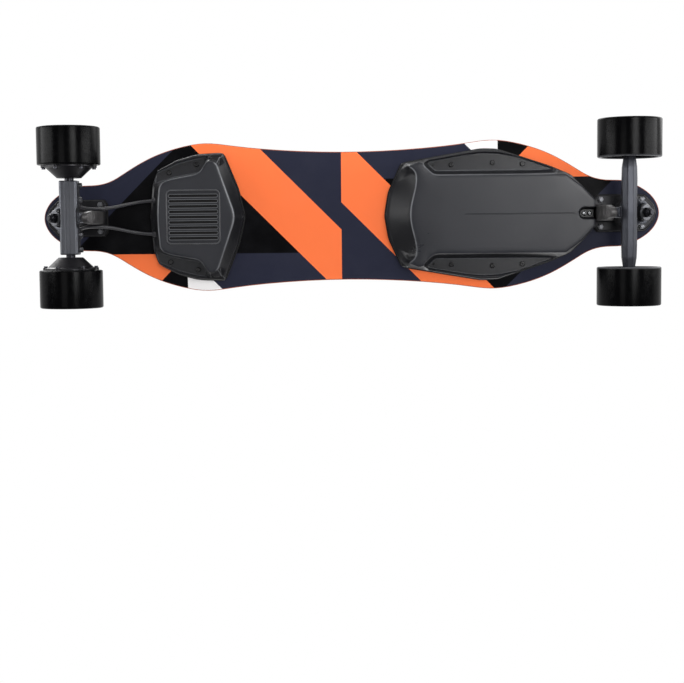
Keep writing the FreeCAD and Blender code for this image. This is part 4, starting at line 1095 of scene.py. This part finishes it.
for side, sign in SIDES:
    route = [(x, sign * y, z) for x, y, z in CABLE_ROUTE]
    cable = tube(f"{side}_motor_lead", route, CABLE_RADIUS)
    cable.data.materials.append(MATERIALS["wire"])
    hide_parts(f"{side}_motor_cable")
    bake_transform(cable)

    route = [(x, sign * y, z) for x, y, z in BRANCH_ROUTE]
    branch = tube(f"{side}_branch_wire", route, BRANCH_RADIUS)
    placed(branch, "rear_truck", "wire")


# ---------------------------------------------------------------- finishes of the CAD nodes
DARK_STEEL = finish(
    "blackened_steel", srgb(52, 52, 56), 0.3, 0.85, 0.0005, 0.3, 700.0, 0.00003, 5.0,
)
GREY_STEEL = finish(
    "zinc_screw", srgb(118, 119, 123), 0.4, 0.9, 0.0004, 0.3, 700.0, 0.00003, 1.9,
)
# Near black heads whose edges are painted far lighter, as painted highlights.
COVER_SCREW = finish(
    "cover_screw", srgb(15, 15, 17), 0.26, 0.2, 0.0005, 0.3, 900.0, 0.00003, 26.0,
)
WASHER_STEEL = finish(
    "washer_steel", srgb(96, 97, 101), 0.34, 0.85, 0.0006, 0.25, 700.0, 0.00003, 3.0,
)
OTHERS = {
    "kingpins": DARK_STEEL, "kingpin_nuts": DARK_STEEL, "bushing_washers": WASHER_STEEL,
    "truck_nuts": GREY_STEEL, "truck_bolts": GREY_STEEL, "axle_clamp_bolts": GREY_STEEL,
    "left_motor_shaft": DARK_STEEL, "right_motor_shaft": DARK_STEEL,
    "cover_screws": COVER_SCREW,
}
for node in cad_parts.values():
    for place in node.material_slots:
        slot = place.material.name.split(".")[0]
        place.material = OTHERS.get(node.name) or MATERIALS[slot]

# The deck stays out of bounced and mirrored light, where its print would tint the covers.
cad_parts["deck"].visible_diffuse = False
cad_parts["deck"].visible_glossy = False


# ---------------------------------------------------------------- floor, light and camera
def area_light(name, place, target, size, power):
    """A soft light at that place, turned to its target, which the camera doesn't see."""
    lamp = bpy.data.lights.new(name, "AREA")
    lamp.shape = "RECTANGLE"
    lamp.size, lamp.size_y = size
    lamp.energy = power
    holder = bpy.data.objects.new(name, lamp)
    holder.location = place
    holder.rotation_mode = "QUATERNION"
    holder.rotation_quaternion = (Vector(target) - Vector(place)).to_track_quat("-Z", "Y")
    holder.visible_camera = False
    bpy.context.scene.collection.objects.link(holder)


FLOOR_HALF = 9.0
FADE_START, FADE_END = 1.0, 3.0  # away from the middle of the board


def floor():
    """A pale floor that fades out far away, and that only shows from above."""
    slab = bpy.data.meshes.new("floor")
    corners = [(-1, -1, 0), (1, -1, 0), (1, 1, 0), (-1, 1, 0)]
    slab.from_pydata([Vector(corner) * FLOOR_HALF for corner in corners], [], [(0, 1, 2, 3)])
    surface = bpy.data.objects.new("floor", slab)
    bpy.context.scene.collection.objects.link(surface)
    surface.visible_glossy = False
    surface.visible_shadow = False
    coat = bpy.data.materials.new("floor")
    coat.use_nodes = True
    tree = coat.node_tree
    shader = tree.nodes["Principled BSDF"]
    shader.inputs["Base Color"].default_value = (0.82, 0.82, 0.81, 1)
    shader.inputs["Roughness"].default_value = 0.9
    below = tree.nodes.new("ShaderNodeBsdfTransparent")
    pick = tree.nodes.new("ShaderNodeMixShader")
    face = tree.nodes.new("ShaderNodeNewGeometry")
    away = tree.nodes.new("ShaderNodeVectorMath")
    away.operation = "LENGTH"
    tree.links.new(tree.nodes.new("ShaderNodeTexCoord").outputs["Object"], away.inputs[0])
    fade = tree.nodes.new("ShaderNodeMapRange")
    fade.interpolation_type = "SMOOTHSTEP"
    fade.inputs["From Min"].default_value = FADE_START
    fade.inputs["From Max"].default_value = FADE_END
    tree.links.new(away.outputs["Value"], fade.inputs["Value"])
    gone = tree.nodes.new("ShaderNodeMath")
    gone.operation = "MAXIMUM"
    tree.links.new(face.outputs["Backfacing"], gone.inputs[0])
    tree.links.new(fade.outputs["Result"], gone.inputs[1])
    tree.links.new(gone.outputs[0], pick.inputs[0])
    tree.links.new(shader.outputs[0], pick.inputs[1])
    tree.links.new(below.outputs[0], pick.inputs[2])
    tree.links.new(pick.outputs[0], tree.nodes["Material Output"].inputs["Surface"])
    slab.materials.append(coat)


def white_room():
    """A white background to look at, and a softer sky to light by, dark below the floor."""
    world = bpy.data.worlds.new("studio")
    world.use_nodes = True
    tree = world.node_tree
    seen = tree.nodes.new("ShaderNodeLightPath").outputs["Is Camera Ray"]
    way = tree.nodes.new("ShaderNodeSeparateXYZ")
    tree.links.new(tree.nodes.new("ShaderNodeTexCoord").outputs["Generated"], way.inputs[0])
    sky = tree.nodes.new("ShaderNodeMapRange")
    limits = {"From Min": -0.2, "From Max": 0.1, "To Min": 0.06, "To Max": 0.7}
    for name, number in limits.items():
        sky.inputs[name].default_value = number
    tree.links.new(way.outputs["Z"], sky.inputs["Value"])
    strength = tree.nodes.new("ShaderNodeMath")
    strength.operation = "MAXIMUM"
    tree.links.new(seen, strength.inputs[0])
    tree.links.new(sky.outputs["Result"], strength.inputs[1])
    back = tree.nodes["Background"]
    back.inputs["Color"].default_value = (1, 1, 1, 1)
    tree.links.new(strength.outputs[0], back.inputs["Strength"])
    bpy.context.scene.world = world


CAMERA_PLACE = Vector((0.079, 0.035, -2.080))
CAMERA_TARGET = Vector((-0.0127, 0.1976, DECK_LOW * MM))
CAMERA_LEAN = math.radians(0.54)


def photo_camera():
    """Below the middle of the board, looking up, with the nose to the right."""
    camera = bpy.data.cameras.new("camera")
    camera.sensor_width = 36
    camera.lens = 73.5
    camera.clip_end = 50
    holder = bpy.data.objects.new("camera", camera)
    forward = (CAMERA_TARGET - CAMERA_PLACE).normalized()
    up = Vector((math.sin(CAMERA_LEAN), -math.cos(CAMERA_LEAN), 0))
    right = forward.cross(up).normalized()
    up = right.cross(forward)
    turn = Matrix((right, up, -forward)).transposed()
    holder.matrix_world = Matrix.Translation(CAMERA_PLACE) @ turn.to_4x4()
    bpy.context.scene.collection.objects.link(holder)
    bpy.context.scene.camera = holder


floor()
white_room()
photo_camera()
area_light("under_soft", (0.88, -0.3, -2.2), (0.05, 0, 0.1), (0.8, 0.8), 17.5)
area_light("under_tail", (-1.7, -0.2, -0.35), (-0.1, 0, 0.08), (0.35, 1.4), 7)
area_light("under_rear", (-0.9, 0, -2.2), (-0.25, 0, 0.1), (0.8, 0.8), 3)
area_light("under_nose", (1.7, -0.2, -0.35), (0.1, 0, 0.08), (0.35, 1.4), 9)
area_light("under_side", (0, -1.5, -0.9), (0, 0, 0.1), (1.8, 0.45), 11)
area_light("under_fill", (0, 1.6, -0.9), (0, 0, 0.1), (1.8, 0.5), 2.5)
area_light("key", (-1.4, -1.7, 2.2), (0, 0, 0.1), (1.6, 1.6), 36)
area_light("fill", (2.0, -1.0, 1.5), (0, 0, 0.1), (1.4, 1.4), 12)
area_light("back", (0.3, 2.2, 1.8), (0, 0, 0.1), (1.8, 1.2), 16)
bpy.context.scene.view_settings.view_transform = "Standard"
